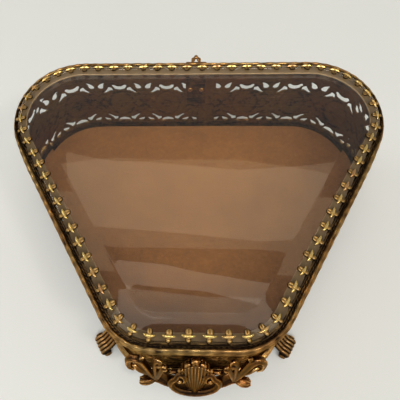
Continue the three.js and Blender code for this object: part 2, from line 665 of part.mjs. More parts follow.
addMesh(lid, 'lid_hinge_leaf', cutBy(joined([
  box(-HINGE_WIDTH / 2, HINGE_WIDTH / 2, leafSeatY, backFace, lidLeafBottom, lidLeafTop),
  acrossHinge(neck, LID_KNUCKLE_WIDTH),
  cylinderX(KNUCKLE_RADIUS, LID_KNUCKLE_WIDTH, 0, hingeY, hingeZ),
  lidStop,
]), [knuckleBore]), copperGilt);

export default box3d;
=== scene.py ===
import math

import bmesh
import bpy
import numpy as np
from mathutils import Matrix, Vector


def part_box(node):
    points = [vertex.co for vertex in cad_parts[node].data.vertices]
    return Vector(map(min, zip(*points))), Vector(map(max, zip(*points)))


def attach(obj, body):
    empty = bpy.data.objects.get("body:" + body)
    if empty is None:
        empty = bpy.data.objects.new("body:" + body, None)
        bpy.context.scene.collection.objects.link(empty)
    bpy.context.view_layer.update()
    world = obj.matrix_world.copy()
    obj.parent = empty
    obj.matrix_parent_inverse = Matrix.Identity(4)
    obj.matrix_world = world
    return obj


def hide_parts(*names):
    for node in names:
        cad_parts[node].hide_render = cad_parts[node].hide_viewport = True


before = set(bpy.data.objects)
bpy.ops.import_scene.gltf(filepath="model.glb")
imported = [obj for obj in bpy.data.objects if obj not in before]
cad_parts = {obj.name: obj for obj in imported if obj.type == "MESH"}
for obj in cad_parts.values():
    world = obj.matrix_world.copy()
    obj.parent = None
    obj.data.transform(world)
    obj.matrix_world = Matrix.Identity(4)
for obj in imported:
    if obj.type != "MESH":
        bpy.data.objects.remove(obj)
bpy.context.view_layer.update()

MM = 0.001

# ---------------------------------------------------------------- table, light and camera
# The box stands on a pale matt painted table. A wide soft lamp hangs high in front of it, with a weak one
# at the back left and a small warm one at the right. The room is pale low down and a dull grey overhead.


class Value:
    """One output of a finish's nodes, that plain Python sums can be written with."""

    def __init__(self, finish, socket):
        self.finish = finish
        self.socket = socket

    def maths(self, operation, first, second):
        return self.finish.node("Math", {"operation": operation}, {0: first, 1: second})

    def __add__(self, other):
        return self.maths("ADD", self, other)

    def __radd__(self, other):
        return self.maths("ADD", other, self)

    def __sub__(self, other):
        return self.maths("SUBTRACT", self, other)

    def __rsub__(self, other):
        return self.maths("SUBTRACT", other, self)

    def __mul__(self, other):
        return self.maths("MULTIPLY", self, other)

    def __rmul__(self, other):
        return self.maths("MULTIPLY", other, self)

    def between(self, low, high):
        """0 below low, 1 above high and smooth between them."""
        return self.finish.node("MapRange", {"interpolation_type": "SMOOTHSTEP"}, {0: self, 1: low, 2: high})


class Finish:
    """A material, built up from nodes."""

    def __init__(self, name):
        self.material = bpy.data.materials.new(name)
        self.material.use_nodes = True
        self.tree = self.material.node_tree
        self.tree.nodes.clear()

    def node(self, kind, settings=None, inputs=None, output=0):
        made = self.tree.nodes.new("ShaderNode" + kind)
        for setting, value in (settings or {}).items():
            setattr(made, setting, value)
        for key, value in (inputs or {}).items():
            if isinstance(value, Value):
                self.tree.links.new(value.socket, made.inputs[key])
            else:
                made.inputs[key].default_value = value
        return Value(self, made.outputs[output])

    def place(self):
        """The point on the piece, in metres in the box's own frame."""
        return self.node("TexCoord", output="Object")

    def mark(self, name, output="Fac"):
        """A value that was stored on the mesh when it was made."""
        return self.node("Attribute", {"attribute_name": name}, output=output)

    def stretched(self, place, scale):
        return self.node("VectorMath", {"operation": "MULTIPLY"}, {0: place, 1: scale})

    def noise(self, place, scale, detail=3.0, roughness=0.55):
        return self.node("TexNoise", {}, {"Vector": place, "Scale": scale, "Detail": detail,
                                          "Roughness": roughness})

    def mix(self, amount, first, second, blend="MIX"):
        return self.node("Mix", {"data_type": "RGBA", "blend_type": blend},
                         {0: amount, 6: first, 7: second}, output=2)

    def bump(self, height, depth, strength=1.0):
        return self.node("Bump", {}, {"Height": height, "Distance": depth, "Strength": strength})

    def surface(self, **inputs):
        """Ends the nodes in a Principled shader, whose sockets are named with _ for a space."""
        named = {key.replace("_", " "): value for key, value in inputs.items()}
        return self.node("BsdfPrincipled", {}, named)

    def done(self, shader):
        end = self.tree.nodes.new("ShaderNodeOutputMaterial")
        self.tree.links.new(shader.socket, end.inputs["Surface"])
        return self.material


def rgba(red, green, blue):
    """A solid colour."""
    return (red, green, blue, 1.0)


TABLE_HALF = 1.6
TABLE_PALE = rgba(0.80, 0.81, 0.78)
TABLE_DULL = rgba(0.74, 0.75, 0.72)
BOX_MIDDLE = Vector((0, 0, 0.03))

table_finish = Finish("table_paint")
table_cloud = table_finish.noise(table_finish.place(), 6.0, 2.0)
table_paint = table_finish.done(table_finish.surface(
    Base_Color=table_finish.mix(table_cloud, TABLE_DULL, TABLE_PALE), Roughness=0.72))
table_mesh = bpy.data.meshes.new("table")
table_corners = [(x * TABLE_HALF, y * TABLE_HALF, 0) for x, y in ((-1, -1), (1, -1), (1, 1), (-1, 1))]
table_mesh.from_pydata(table_corners, [], [(0, 1, 2, 3)])
table_mesh.materials.append(table_paint)
table = bpy.data.objects.new("table", table_mesh)
bpy.context.scene.collection.objects.link(table)


def lamp(name, place, width, depth, watts, colour):
    """A soft oblong lamp at a place, turned to face the box."""
    light = bpy.data.lights.new(name, "AREA")
    light.shape = "RECTANGLE"
    light.size = width
    light.size_y = depth
    light.energy = watts
    light.color = colour
    lit = bpy.data.objects.new(name, light)
    lit.location = place
    lit.rotation_euler = (Vector(place) - BOX_MIDDLE).to_track_quat("Z", "Y").to_euler()
    bpy.context.scene.collection.objects.link(lit)


lamp("overhead_lamp", (0.0, -0.72, 1.25), 1.2, 0.5, 11.0, (0.99, 0.99, 0.985))
lamp("fill_lamp", (-1.0, 0.3, 0.8), 0.5, 0.5, 2.5, (0.95, 0.97, 1))
lamp("spark_lamp", (0.5, -0.45, 0.8), 0.12, 0.12, 1.6, (1, 0.95, 0.85))
# Warm pale panels overhead and behind lie mirrored in the glass as soft bands, and along its bevel.
lamp("wide_panel", (0.03, 0.61, 1.15), 1.0, 0.26, 0.95, (1, 0.76, 0.52))
lamp("bevel_panel", (0.0, 0.03, 1.15), 1.0, 0.27, 1.3, (1, 0.90, 0.76))
lamp("narrow_panel", (0.03, 0.29, 1.15), 0.9, 0.075, 0.30, (1, 0.86, 0.70))

ROOM_LOW = rgba(0.85, 0.86, 0.84)
ROOM_HIGH = rgba(0.17, 0.175, 0.18)
ROOM_STRENGTH = 0.7
room = bpy.data.worlds.new("room")
room.use_nodes = True
bpy.context.scene.world = room
room_nodes = room.node_tree.nodes
room_links = room.node_tree.links
height = room_nodes.new("ShaderNodeSeparateXYZ")
shade = room_nodes.new("ShaderNodeMix")
shade.data_type = "RGBA"
shade.inputs[6].default_value = ROOM_LOW
shade.inputs[7].default_value = ROOM_HIGH
room_links.new(room_nodes.new("ShaderNodeTexCoord").outputs["Generated"], height.inputs[0])
room_links.new(height.outputs["Z"], shade.inputs[0])
room_links.new(shade.outputs[2], room_nodes["Background"].inputs["Color"])
room_nodes["Background"].inputs["Strength"].default_value = ROOM_STRENGTH

# The camera looks down on the lid from close in front, a little turned and rolled, as if held in the hand.
AIM = Vector((-6.83, -18.97, 53.5)) * MM
CAMERA_DISTANCE = 148.2 * MM
CAMERA_RISE = math.radians(63.71)
CAMERA_YAW = math.radians(4.48)
CAMERA_ROLL = math.radians(-3.68)
LENS = 38.9
LENS_SHIFT_X = 0.0593
LENS_SHIFT_Y = 0.068
SENSOR = 36
NEAREST = 10 * MM

backwards = Vector((math.sin(CAMERA_YAW) * math.cos(CAMERA_RISE),
                    -math.cos(CAMERA_YAW) * math.cos(CAMERA_RISE), math.sin(CAMERA_RISE)))
level = Vector((math.cos(CAMERA_YAW), math.sin(CAMERA_YAW), 0))
upright = backwards.cross(level)
rightwards = level * math.cos(CAMERA_ROLL) + upright * math.sin(CAMERA_ROLL)
upwards = upright * math.cos(CAMERA_ROLL) - level * math.sin(CAMERA_ROLL)
lens = bpy.data.cameras.new("camera")
lens.lens = LENS
lens.sensor_width = SENSOR
lens.clip_start = NEAREST
lens.shift_x = LENS_SHIFT_X
lens.shift_y = LENS_SHIFT_Y
camera = bpy.data.objects.new("camera", lens)
camera.matrix_world = Matrix((rightwards, upwards, backwards)).transposed().to_4x4()
camera.location = AIM + backwards * CAMERA_DISTANCE
bpy.context.scene.collection.objects.link(camera)
bpy.context.scene.camera = camera
bpy.context.scene.view_settings.view_transform = "Standard"

# ---------------------------------------------------------------- base plate
# A flat sheet of brass cut to the box's rounded three-cornered plan. The feet are riveted through it and
# the moulding is soldered round its edge.
LID_WIDTH = 150.0
LID_DEPTH = 122.0
BACK_RADIUS = 28.3
FRONT_RADIUS = 21.4
FRONT_STRAIGHT = 25.0
BASE_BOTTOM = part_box("base_plate")[0].z / MM
BASE_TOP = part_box("base_plate")[1].z / MM
BASE_INSET = 0.3
BASE_EDGE = 0.2
ROUND_STEPS = 760

back_x = LID_WIDTH / 2 - BACK_RADIUS
back_y = LID_DEPTH / 2 - BACK_RADIUS
front_x = FRONT_STRAIGHT / 2
front_y = FRONT_RADIUS - LID_DEPTH / 2
corner_gap = math.hypot(back_x - front_x, back_y - front_y)
side_turn = (math.atan2(back_y - front_y, back_x - front_x)
             - math.acos((FRONT_RADIUS - BACK_RADIUS) / corner_gap))
quarter = math.pi / 2
full_turn = 2 * math.pi
CORNERS = (
    (-back_x, back_y, BACK_RADIUS, quarter, math.pi - side_turn),
    (-front_x, front_y, FRONT_RADIUS, math.pi - side_turn, 3 * quarter),
    (front_x, front_y, FRONT_RADIUS, 3 * quarter, 4 * quarter + side_turn),
    (back_x, back_y, BACK_RADIUS, 4 * quarter + side_turn, 5 * quarter),
)


def plan(s, inset=0.0):
    """The lid's outline from above: the point and the outward direction at s millimetres round it from the
    back centre, anticlockwise, with s measured on the line that lies inset millimetres inside it."""
    point = np.zeros(s.shape + (2,))
    out = np.zeros(s.shape + (2,))
    here = np.array([0.0, LID_DEPTH / 2])
    begun = 0.0
    closing = (0.0, LID_DEPTH / 2, 0.0, 5 * quarter, 5 * quarter)
    for x, y, radius, start, end in (*CORNERS, closing):
        facing = np.array([math.cos(start), math.sin(start)])
        corner = np.array([x, y]) + radius * facing
        straight = math.dist(corner, here)
        on = (s >= begun) & (s <= begun + straight)
        point[on] = here + (corner - here) * ((s[on] - begun) / straight)[:, None]
        out[on] = facing
        begun += straight
        on = (s > begun) & (s <= begun + (radius - inset) * (end - start))
        angle = start + (s[on] - begun) / max(radius - inset, 1e-6)
        out[on] = np.stack([np.cos(angle), np.sin(angle)], -1)
        point[on] = np.array([x, y]) + radius * out[on]
        begun += max(radius - inset, 0.0) * (end - start)
        here = np.array([x, y]) + radius * np.array([math.cos(end), math.sin(end)])
    return point, out


def round_length(inset=0.0):
    """The length of the line that lies inset millimetres inside the lid's outline."""
    side = math.sqrt(corner_gap ** 2 - (FRONT_RADIUS - BACK_RADIUS) ** 2)
    straights = 2 * back_x + FRONT_STRAIGHT + 2 * side
    return straights + sum((radius - inset) * (end - start) for _, _, radius, start, end in CORNERS)


def patches(s, q, long, tall, seed):
    """A smooth random field from -1 to 1 in patches of long by tall millimetres, closed round the box."""
    cells = max(2, round(round_length() / long))
    rows, first_row = 97, 31
    lattice = np.random.default_rng(seed).uniform(-1, 1, (cells, rows))
    u = s / round_length() * cells
    v = q / tall + first_row
    i = np.floor(u).astype(int)
    j = np.floor(v).astype(int)
    fu = (u - i) ** 2 * (3 - 2 * (u - i))
    fv = (v - j) ** 2 * (3 - 2 * (v - j))

    def corner(di, dj):
        return lattice[(i + di) % cells, (j + dj) % rows]

    near = corner(0, 0) * (1 - fu) + corner(1, 0) * fu
    far = corner(0, 1) * (1 - fu) + corner(1, 1) * fu
    return near * (1 - fv) + far * fv


def mesh_of(name, points, faces):
    """A mesh from points in millimetres, with its faces turned outwards."""
    mesh = bpy.data.meshes.new(name)
    corners = [tuple(map(int, face)) for face in faces]
    mesh.from_pydata((np.asarray(points, float) * MM).tolist(), [], corners)
    turned_out = bmesh.new()
    turned_out.from_mesh(mesh)
    bmesh.ops.recalc_face_normals(turned_out, faces=turned_out.faces)
    turned_out.to_mesh(mesh)
    turned_out.free()
    return mesh


def piece(name, body, material, points, faces, stands_for, sharp=50, marks=None):
    """A shaded mesh that rides on a body, with the values that its finish reads stored at its points."""
    mesh = mesh_of(name, points, faces)
    for mark, values in (marks or {}).items():
        values = np.asarray(values, np.float32)
        kind, key = ("FLOAT", "value") if values.ndim == 1 else ("FLOAT_VECTOR", "vector")
        mesh.attributes.new(mark, kind, "POINT").data.foreach_set(key, values.ravel())
    mesh.polygons.foreach_set("use_smooth", [True] * len(mesh.polygons))
    mesh.set_sharp_from_angle(angle=math.radians(sharp))
    mesh.materials.append(material)
    made = bpy.data.objects.new(name, mesh)
    bpy.context.scene.collection.objects.link(made)
    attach(made, body)
    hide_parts(*stands_for)
    return made


def net_quads(rows, columns, round_rows=False, round_columns=False):
    """The quads of a net of points numbered row by row, closed round on itself where asked."""
    i, k = np.meshgrid(np.arange(rows if round_rows else rows - 1),
                       np.arange(columns if round_columns else columns - 1), indexing="ij")
    j = (i + 1) % rows
    m = (k + 1) % columns
    corners = [i * columns + k, j * columns + k, j * columns + m, i * columns + m]
    return np.stack(corners, -1).reshape(-1, 4)


def run_along(line):
    """The distance from a line's first point to each of its points."""
    return np.concatenate([[0], np.cumsum(np.linalg.norm(np.diff(line, axis=0), axis=1))])


def moulded(profile, carve=None, steps=ROUND_STEPS):
    """A closed profile of (inset, height) carried round the plan: points, faces, the round and across
    lengths, and how far each point was raised along the profile's normal."""
    profile = np.asarray(profile, float)
    ahead = np.roll(profile, -1, 0)
    run = ahead - np.roll(profile, 1, 0)
    area = np.sum(profile[:, 0] * ahead[:, 1] - profile[:, 1] * ahead[:, 0])
    side = np.stack([run[:, 1], -run[:, 0]], -1) * np.sign(area)
    side /= np.maximum(np.linalg.norm(side, axis=1, keepdims=True), 1e-9)
    across = run_along(profile)
    s = np.arange(steps) * round_length() / steps
    point, out = plan(s)
    s_grid, q_grid = np.meshgrid(s, across, indexing="ij")
    raised = carve(s_grid, q_grid) if carve else np.zeros_like(s_grid)
    inset = profile[:, 0] + raised * side[:, 0]
    height = profile[:, 1] + raised * side[:, 1]
    flat = point[:, None, :] - inset[..., None] * out[:, None, :]
    points = np.concatenate([flat, height[..., None]], -1).reshape(-1, 3)
    faces = net_quads(steps, len(profile), round_rows=True, round_columns=True)
    along = np.stack([s_grid, q_grid, np.zeros_like(s_grid)], -1).reshape(-1, 3) * MM
    return points, faces, along, raised.ravel()


def outlines(levels):
    """The points of the lid's outline, repeated at each (inset, height)."""
    point, out = plan(np.arange(ROUND_STEPS) * round_length() / ROUND_STEPS)
    return np.concatenate([np.concatenate([point - inset * out, np.full((ROUND_STEPS, 1), level)], 1)
                           for inset, level in levels])


def layered(levels):
    """A solid of outlines laid on one another, from the lowest (inset, height) to the highest."""
    step = np.arange(ROUND_STEPS)
    sides = net_quads(len(levels), ROUND_STEPS, round_columns=True)
    return outlines(levels), [*sides, step[::-1], step + (len(levels) - 1) * ROUND_STEPS]


def gilded(name, hollow, metal, rubbed, rough=(0.55, 0.24), wear=0.5, streaks=0.0, dusted=False):
    """Antiqued gilt: a brown varnish lies in the hollows, and the high places are rubbed back to bright
    metal. A dusted one also has pale dust where the piece is marked for it."""
    gilt = Finish(name)
    place = gilt.place()
    cloud = gilt.noise(place, 90.0, 3.0)
    speck = gilt.noise(place, 900.0, 2.0)
    high = gilt.mark("relief") + (cloud - 0.5) * 0.7 + (speck - 0.5) * 0.45
    if streaks:
        lines = gilt.noise(gilt.stretched(gilt.mark("along", "Vector"), (0.25, 2.2, 1)), 700.0, 3.0)
        high = high + (lines - 0.5) * streaks
    shown = high.between(0.18, 0.55)
    bright = high.between(0.62 - 0.2 * wear, 1.12 - 0.3 * wear)
    colour = gilt.mix(bright, gilt.mix(shown, hollow, metal), rubbed)
    tint = gilt.noise(place, 40.0, 2.0).between(0.35, 0.7)
    warm = gilt.mix(tint * 0.55, colour, gilt.mix(1.0, colour, rgba(1.0, 0.62, 0.42), "MULTIPLY"))
    roughness = rough[0] + (rough[1] - rough[0]) * bright + (speck - 0.5) * 0.12
    metallic = 0.88 + 0.1 * shown
    if dusted:
        dust = gilt.mark("dust")
        warm = gilt.mix(dust, warm, rgba(0.34, 0.215, 0.11))
        metallic = metallic * (1 - 0.8 * dust)
    return gilt.done(gilt.surface(
        Base_Color=warm, Metallic=metallic, Roughness=roughness, Specular_Tint=rgba(0.86, 0.64, 0.42),
        Normal=gilt.bump(speck, 0.00006, 0.6)))


antique_gilt = gilded("antique_gilt", rgba(0.022, 0.014, 0.008), rgba(0.17, 0.098, 0.038),
                      rgba(0.62, 0.38, 0.13), streaks=0.6)
dark_gilt = gilded("dark_gilt", rgba(0.026, 0.015, 0.006), rgba(0.19, 0.105, 0.032),
                   rgba(0.50, 0.31, 0.11), wear=0.2, streaks=0.6)
points, faces = layered([(BASE_INSET + BASE_EDGE, BASE_BOTTOM), (BASE_INSET, BASE_BOTTOM + BASE_EDGE),
                         (BASE_INSET, BASE_TOP - BASE_EDGE), (BASE_INSET + BASE_EDGE, BASE_TOP)])
piece("base_plate_sheet", "body", dark_gilt, points, faces, ["base_plate"],
      marks={"relief": np.full(len(points), 0.45), "along": points * MM})

# ---------------------------------------------------------------- base moulding
# A half-round strip of stamped brass soldered round the foot of the wall, rolled with a rough bark
# pattern that the brown varnish settles in.
MOULDING_OUT = 0.5
MOULDING_BACK = 1.3
MOULDING_HEIGHT = 3.4
MOULDING_BARK = 0.15
moulding_top = BASE_TOP + MOULDING_HEIGHT


def nose(outer, inner, bottom, height, steps=18):
    """A half-round front, from the lower inner edge round to the upper one."""
    turn = np.linspace(-quarter, quarter, steps)
    inset = inner - (inner - outer) * np.cos(turn)
    return np.stack([inset, bottom + height * (1 + np.sin(turn)) / 2], -1)


def bark(depth, seed):
    """Long ridges that run round the box, rise and fade, and run into one another."""
    def carve(s, q):
        rough = (0.5 * patches(s, q, 9, 0.9, seed) + 0.34 * patches(s, q, 4, 0.5, seed + 1)
                 + 0.3 * patches(s, q, 1.6, 0.45, seed + 2))
        return depth * np.clip(1.1 - 2.2 * np.abs(rough), -1, 1)
    return carve


def relief_of(raised, depth, base=0.45):
    """The relief mark of a carved surface, from 0 in the hollows to 1 on the high places."""
    return np.clip(base + 0.5 * raised / depth, 0, 1)


profile = np.concatenate([
    nose(MOULDING_BARK - MOULDING_OUT, 0.5, BASE_TOP + MOULDING_BARK, MOULDING_HEIGHT - 1.6),
    [(1.0, moulding_top - 1.2), (MOULDING_BACK, moulding_top - 0.9), (MOULDING_BACK, BASE_TOP + 0.2)],
])
points, faces, along, raised = moulded(profile, bark(MOULDING_BARK, 11))
piece("base_moulding_strip", "body", antique_gilt, points, faces, ["base_moulding"],
      marks={"relief": relief_of(raised, MOULDING_BARK), "along": along})

# ---------------------------------------------------------------- side wall
# One strip of thin brass, stamped and pierced, bent round the plan, with its two ends butted beside the
# hinge. Each motif has a crescent, leaf slots and two drops along its top, much the same turned over along
# its foot, and an oval with a flower in it between the two rows.
WALL_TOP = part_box("wall_band")[1].z / MM
WALL_FACE = 3.4
SHEET = 0.45
STAMPING = 0.9
BACK_STAMPING = 0.35 * STAMPING
MOTIFS = 19
COLUMNS = 35
JOINT_PLACE = 4.8
JOINT_SPARE = 0.68
JOINT_PLAIN = 4.2
HOLE_EASE = 0.25
ROW_STEP = 0.5
UPPER_ROW = WALL_TOP - 8.3
LOWER_ROW = BASE_TOP + 7.2
WALL_LENGTH = round_length(WALL_FACE)
MOTIF_LENGTH = WALL_LENGTH / (MOTIFS + JOINT_SPARE)


def stroke(a, b, *beads):
    """Distance to a tapering stroke through beads of (a, b, radius), negative inside it."""
    nearest = np.full(np.shape(a), 1e9)
    for (a0, b0, r0), (a1, b1, r1) in zip(beads, beads[1:] or beads):
        da, db = a1 - a0, b1 - b0
        length = max(da * da + db * db, 1e-12)
        t = np.clip(((a - a0) * da + (b - b0) * db) / length, 0, 1)
        nearest = np.minimum(nearest, np.hypot(a - a0 - t * da, b - b0 - t * db) - (r0 + t * (r1 - r0)))
    return nearest


def pierced_row(a, b, lower):
    """The holes of half a motif, with b up from the row's middle line and away from the wall's middle."""
    crescent = stroke(a, b, (0, 0.3, 1.0), (1.5, 0.65, 0.88), (2.6, 1.8, 0.55))
    leaf = stroke(a, b, (4.35, -0.1, 0.85), (5.3, -1.0, 0.55), (6.3, -1.9, 0.34), (7.4, -2.7, 0.26))
    barb = stroke(a, b, (3.5, -1.0, 0.25), (4.3, -0.2, 0.6), (4.7, 0.7, 0.25))
    if lower:
        drop = stroke(a, b, (8.0, 1.1, 0.95), (8.8, 0.4, 0.6), (9.6, -0.3, 0.2))
    else:
        drop = stroke(a, b, (8.6, 0.9, 1.05), (8.2, 1.9, 0.75), (7.5, 2.8, 0.3), (6.9, 3.2, 0.15))
    return np.minimum.reduce([crescent, leaf, barb, drop]) - HOLE_EASE


def from_joint(s):
    """Distance along the wall to the joint, where the strip's two ends meet beside the hinge."""
    run = (s + JOINT_PLACE) % WALL_LENGTH
    return np.minimum(run, WALL_LENGTH - run)


def from_motif(s):
    """Distance along the wall to the middle of the nearest motif, counted from the joint."""
    turn = (s + JOINT_PLACE) % WALL_LENGTH / MOTIF_LENGTH - (1 + JOINT_SPARE) / 2
    return np.abs(turn - np.round(turn)) * MOTIF_LENGTH


def wall_holes(s, z):
    """Distance to the nearest hole's edge, negative inside the hole. The strip's ends are left plain."""
    a = from_motif(s)
    rows = np.minimum(pierced_row(a, z - UPPER_ROW, False), pierced_row(a, LOWER_ROW - z, True))
    return np.maximum(rows, JOINT_PLAIN - from_joint(s))


def ridge(distance, width):
    """A soft ridge, 1 at distance 0."""
    return np.exp(-(distance / width) ** 2)


def wall_relief(s, z):
    """How far the stamping stands out, from 0 in the ground to 1 on the ridges."""
    a = from_motif(s)
    half = MOTIF_LENGTH / 2
    middle = (WALL_TOP + BASE_TOP) / 2
    b = np.abs(z - middle)
    rims = 0.6 * ridge(wall_holes(s, z) - 0.55, 0.3)
    oval = np.hypot(a / 5.6, b / 7.4)
    frame_ridge = ridge((oval - 1) * 6, 0.55)
    turn = np.arctan2(b, a)
    from_middle = np.hypot(a, b)
    petal_reach = 1.0 + 0.8 * np.cos(4 * turn)
    flower = np.clip(1.2 - np.abs(from_middle - 1.9) / petal_reach, 0, 1) * (from_middle < 4.4)
    eye = np.clip(1 - (from_middle / 1.0) ** 2, 0, 1)
    knot = stroke(a, b, (half, 0.0, 1.3))
    petals = stroke(a, b, (half, 0.4, 0.5), (half - 1.7, 2.0, 0.95), (half - 2.3, 3.3, 0.3))
    tendril = stroke(a, b, (half - 0.2, 3.6, 0.3), (half - 1.2, 5.6, 0.5), (half - 3.4, 6.4, 0.45),
                     (half - 4.2, 5.0, 0.35), (half - 3.4, 4.2, 0.3))
    sprig = stroke(a, b, (5.9, 0.0, 0.3), (6.8, 1.4, 0.55), (7.6, 3.0, 0.25))
    lobes = sum(np.clip(-shape / 0.45, 0, 1) ** 0.5 for shape in (knot, petals, tendril, sprig))
    bands = np.clip((z - (WALL_TOP - 2.3)) / 0.4, 0, 1) + np.clip((BASE_TOP + 4.4 - z) / 0.4, 0, 1)
    grain = (0.55 * patches(s, z, 5, 0.55, 21) + 0.45 * patches(s, z, 2.2, 0.6, 22)) * 0.22
    field = np.clip(0.28 + 0.62 * rims + 0.55 * frame_ridge + 0.5 * flower + 0.5 * eye + 0.62 * lobes, 0, 1)
    joint = ridge(from_joint(s), 0.3)
    return np.clip((np.maximum(field, 0.85 * np.clip(bands, 0, 1)) + grain) * (1 - joint), 0, 1)


def cut_net(a, b, distance, wraps):
    """Quads between rows of places, left out where distance is negative, with the cut edges drawn to where
    it is zero. Returns the moved places and the quads, which are numbered by the flattened places."""
    quads = net_quads(*a.shape, round_rows=wraps)
    flat_a = a.ravel().copy()
    flat_b = b.ravel().copy()
    middle_a = flat_a[quads[:, 0]] + (a[1, 0] - a[0, 0]) / 2
    middle_b = flat_b[quads[:, 0]] + (b[0, 1] - b[0, 0]) / 2
    whole = distance(middle_a, middle_b) > 0
    kept = quads[whole]
    edge = np.intersect1d(quads[~whole], kept)
    tiny = 0.02
    for _ in range(3):
        ea, eb = flat_a[edge], flat_b[edge]
        here = distance(ea, eb)
        slope_a = (distance(ea + tiny, eb) - distance(ea - tiny, eb)) / (2 * tiny)
        slope_b = (distance(ea, eb + tiny) - distance(ea, eb - tiny)) / (2 * tiny)
        steep = np.maximum(slope_a ** 2 + slope_b ** 2, 0.3)
        flat_a[edge] -= here * slope_a / steep
        flat_b[edge] -= here * slope_b / steep
    return flat_a, flat_b, kept


def thickened(front, back, quads):
    """A closed sheet from a front and a back that share their quads, walled round every edge."""
    edges = np.concatenate([quads[:, [n, (n + 1) % 4]] for n in range(4)])
    ordered = np.sort(edges, 1)
    number = ordered[:, 0] * len(front) + ordered[:, 1]
    _, first, count = np.unique(number, return_index=True, return_counts=True)
    start, end = edges[first[count == 1]].T
    points = np.concatenate([front, back])
    wall = np.stack([end, start, start + len(front), end + len(front)], -1)
    faces = np.concatenate([quads, quads[:, ::-1] + len(front), wall])
    used = np.unique(faces)
    renumber = np.zeros(len(points), int)
    renumber[used] = np.arange(len(used))
    return points, renumber[faces], used


steps = MOTIFS * COLUMNS
levels = np.linspace(BASE_TOP, WALL_TOP, round((WALL_TOP - BASE_TOP) / ROW_STEP) + 1)
s_net, z_net = np.meshgrid(np.arange(steps) * WALL_LENGTH / steps, levels, indexing="ij")
s_cut, z_cut, quads = cut_net(s_net, z_net, wall_holes, True)
standing = wall_relief(s_cut, z_cut)
point, out = plan(s_cut % WALL_LENGTH, WALL_FACE)


def on_wall(inset):
    """The wall's net of points, each moved inwards by its own inset."""
    return np.concatenate([point - inset[:, None] * out, z_cut[:, None]], 1)


front_side = on_wall(WALL_FACE - STAMPING * standing)
back_side = on_wall(WALL_FACE + SHEET - BACK_STAMPING * standing)
points, faces, used = thickened(front_side, back_side, quads)
along = np.tile(np.stack([s_cut, z_cut, 0 * s_cut], -1) * MM, (2, 1))
relief = np.concatenate([standing, 0.62 - 0.3 * standing])
piece("wall_pierced_strip", "body", dark_gilt, points[used], faces, ["wall_band"], sharp=70,
      marks={"relief": relief[used], "along": along[used]})

# ---------------------------------------------------------------- wall rim
# A brass strip rolled over the top edge of the wall and soldered there, plain but for a faint bark grain.
# The lid's frame closes on it.
RIM_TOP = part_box("body_rim")[1].z / MM
RIM_OUT = 0.5
RIM_IN = 4.4
RIM_EDGE = 0.3
rim_height = RIM_TOP - WALL_TOP
profile = np.concatenate([
    nose(RIM_OUT, RIM_OUT + rim_height / 2, WALL_TOP, rim_height),
    [(RIM_IN - RIM_EDGE, RIM_TOP), (RIM_IN, RIM_TOP - RIM_EDGE), (RIM_IN, WALL_TOP + RIM_EDGE),
     (RIM_IN - RIM_EDGE, WALL_TOP)],
])
points, faces, along, raised = moulded(profile, bark(0.05, 31))
piece("wall_rolled_rim", "body", antique_gilt, points, faces, ["body_rim"],
      marks={"relief": relief_of(raised, 0.12, 0.4), "along": along})

# ---------------------------------------------------------------- lining
# A card cut to the inside of the box, and glued on it a thin foam pad covered in short tan velvet. The
# pile is brushed flat in patches, and the velvet is turned under the pad's round edge.
LINING_INSET = 4.3
PAD_BOTTOM, PAD_TOP = (corner.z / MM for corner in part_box("floor_pad"))

card = Finish("lining_card")
card_fibre = card.noise(card.place(), 500.0, 4.0)
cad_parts["lining_board"].data.materials[0] = card.done(card.surface(
    Base_Color=card.mix(card_fibre, rgba(0.13, 0.10, 0.07), rgba(0.22, 0.18, 0.13)), Roughness=0.9,
    Normal=card.bump(card_fibre, 0.0001)))

velvet = Finish("tan_velvet")
place = velvet.place()
nap = velvet.noise(place, 26.0, 4.0, 0.6)
mottle = velvet.noise(place, 160.0, 4.0, 0.7)
tuft = velvet.noise(place, 800.0, 3.0)
pile = velvet.noise(place, 2600.0, 2.0)
tone = nap.between(0.3, 0.7) * 0.35 + mottle.between(0.25, 0.75) * 0.3 + tuft.between(0.3, 0.7) * 0.35
velvet_tan = velvet.done(velvet.surface(
    Base_Color=velvet.mix(tone, rgba(0.14, 0.047, 0.006), rgba(0.245, 0.092, 0.017)), Roughness=0.85,
    Sheen_Weight=0.25, Sheen_Roughness=0.4, Sheen_Tint=rgba(0.85, 0.52, 0.26),
    Normal=velvet.bump(pile * 0.6 + mottle * 0.4, 0.00035, 0.7)))

EDGE_ROUND = 0.8
FLAT_INSET = 13.0
PILLOW = 0.5
rings = [(LINING_INSET + 0.2, PAD_BOTTOM)]
for turn in np.linspace(0, quarter, 7):
    rings.append((LINING_INSET + EDGE_ROUND * (1 - math.sin(turn)),
                  PAD_TOP - PILLOW - EDGE_ROUND * math.cos(turn)))
for inset in np.linspace(LINING_INSET + 1.2, FLAT_INSET, 16):
    fall = ((FLAT_INSET - inset) / (FLAT_INSET - LINING_INSET)) ** 2
    rings.append((inset, PAD_TOP - PILLOW + PILLOW * (1 - fall)))
points = outlines(rings)
inner = points[-ROUND_STEPS:]
middle = inner.mean(0)
for share in np.linspace(0, 1, 40)[1:-1]:
    points = np.concatenate([points, inner + (middle - inner) * share])
x, y = points[:, 0], points[:, 1]
dent = 0.10 * np.sin(x / 9.0 + 1.3 * np.sin(y / 13.0)) * np.cos(y / 11.0)
dent += 0.05 * np.sin(x / 3.7 + y / 4.9)
points[:, 2] += np.where(points[:, 2] > PAD_TOP - 0.3, dent - 0.1, 0)
ring_count = len(points) // ROUND_STEPS
step = np.arange(ROUND_STEPS)
innermost = (ring_count - 1) * ROUND_STEPS
fan = [(n + innermost, (n + 1) % ROUND_STEPS + innermost, len(points)) for n in step]
faces = [*net_quads(ring_count, ROUND_STEPS, round_columns=True), *fan, step[::-1]]
points = np.concatenate([points, [middle]])
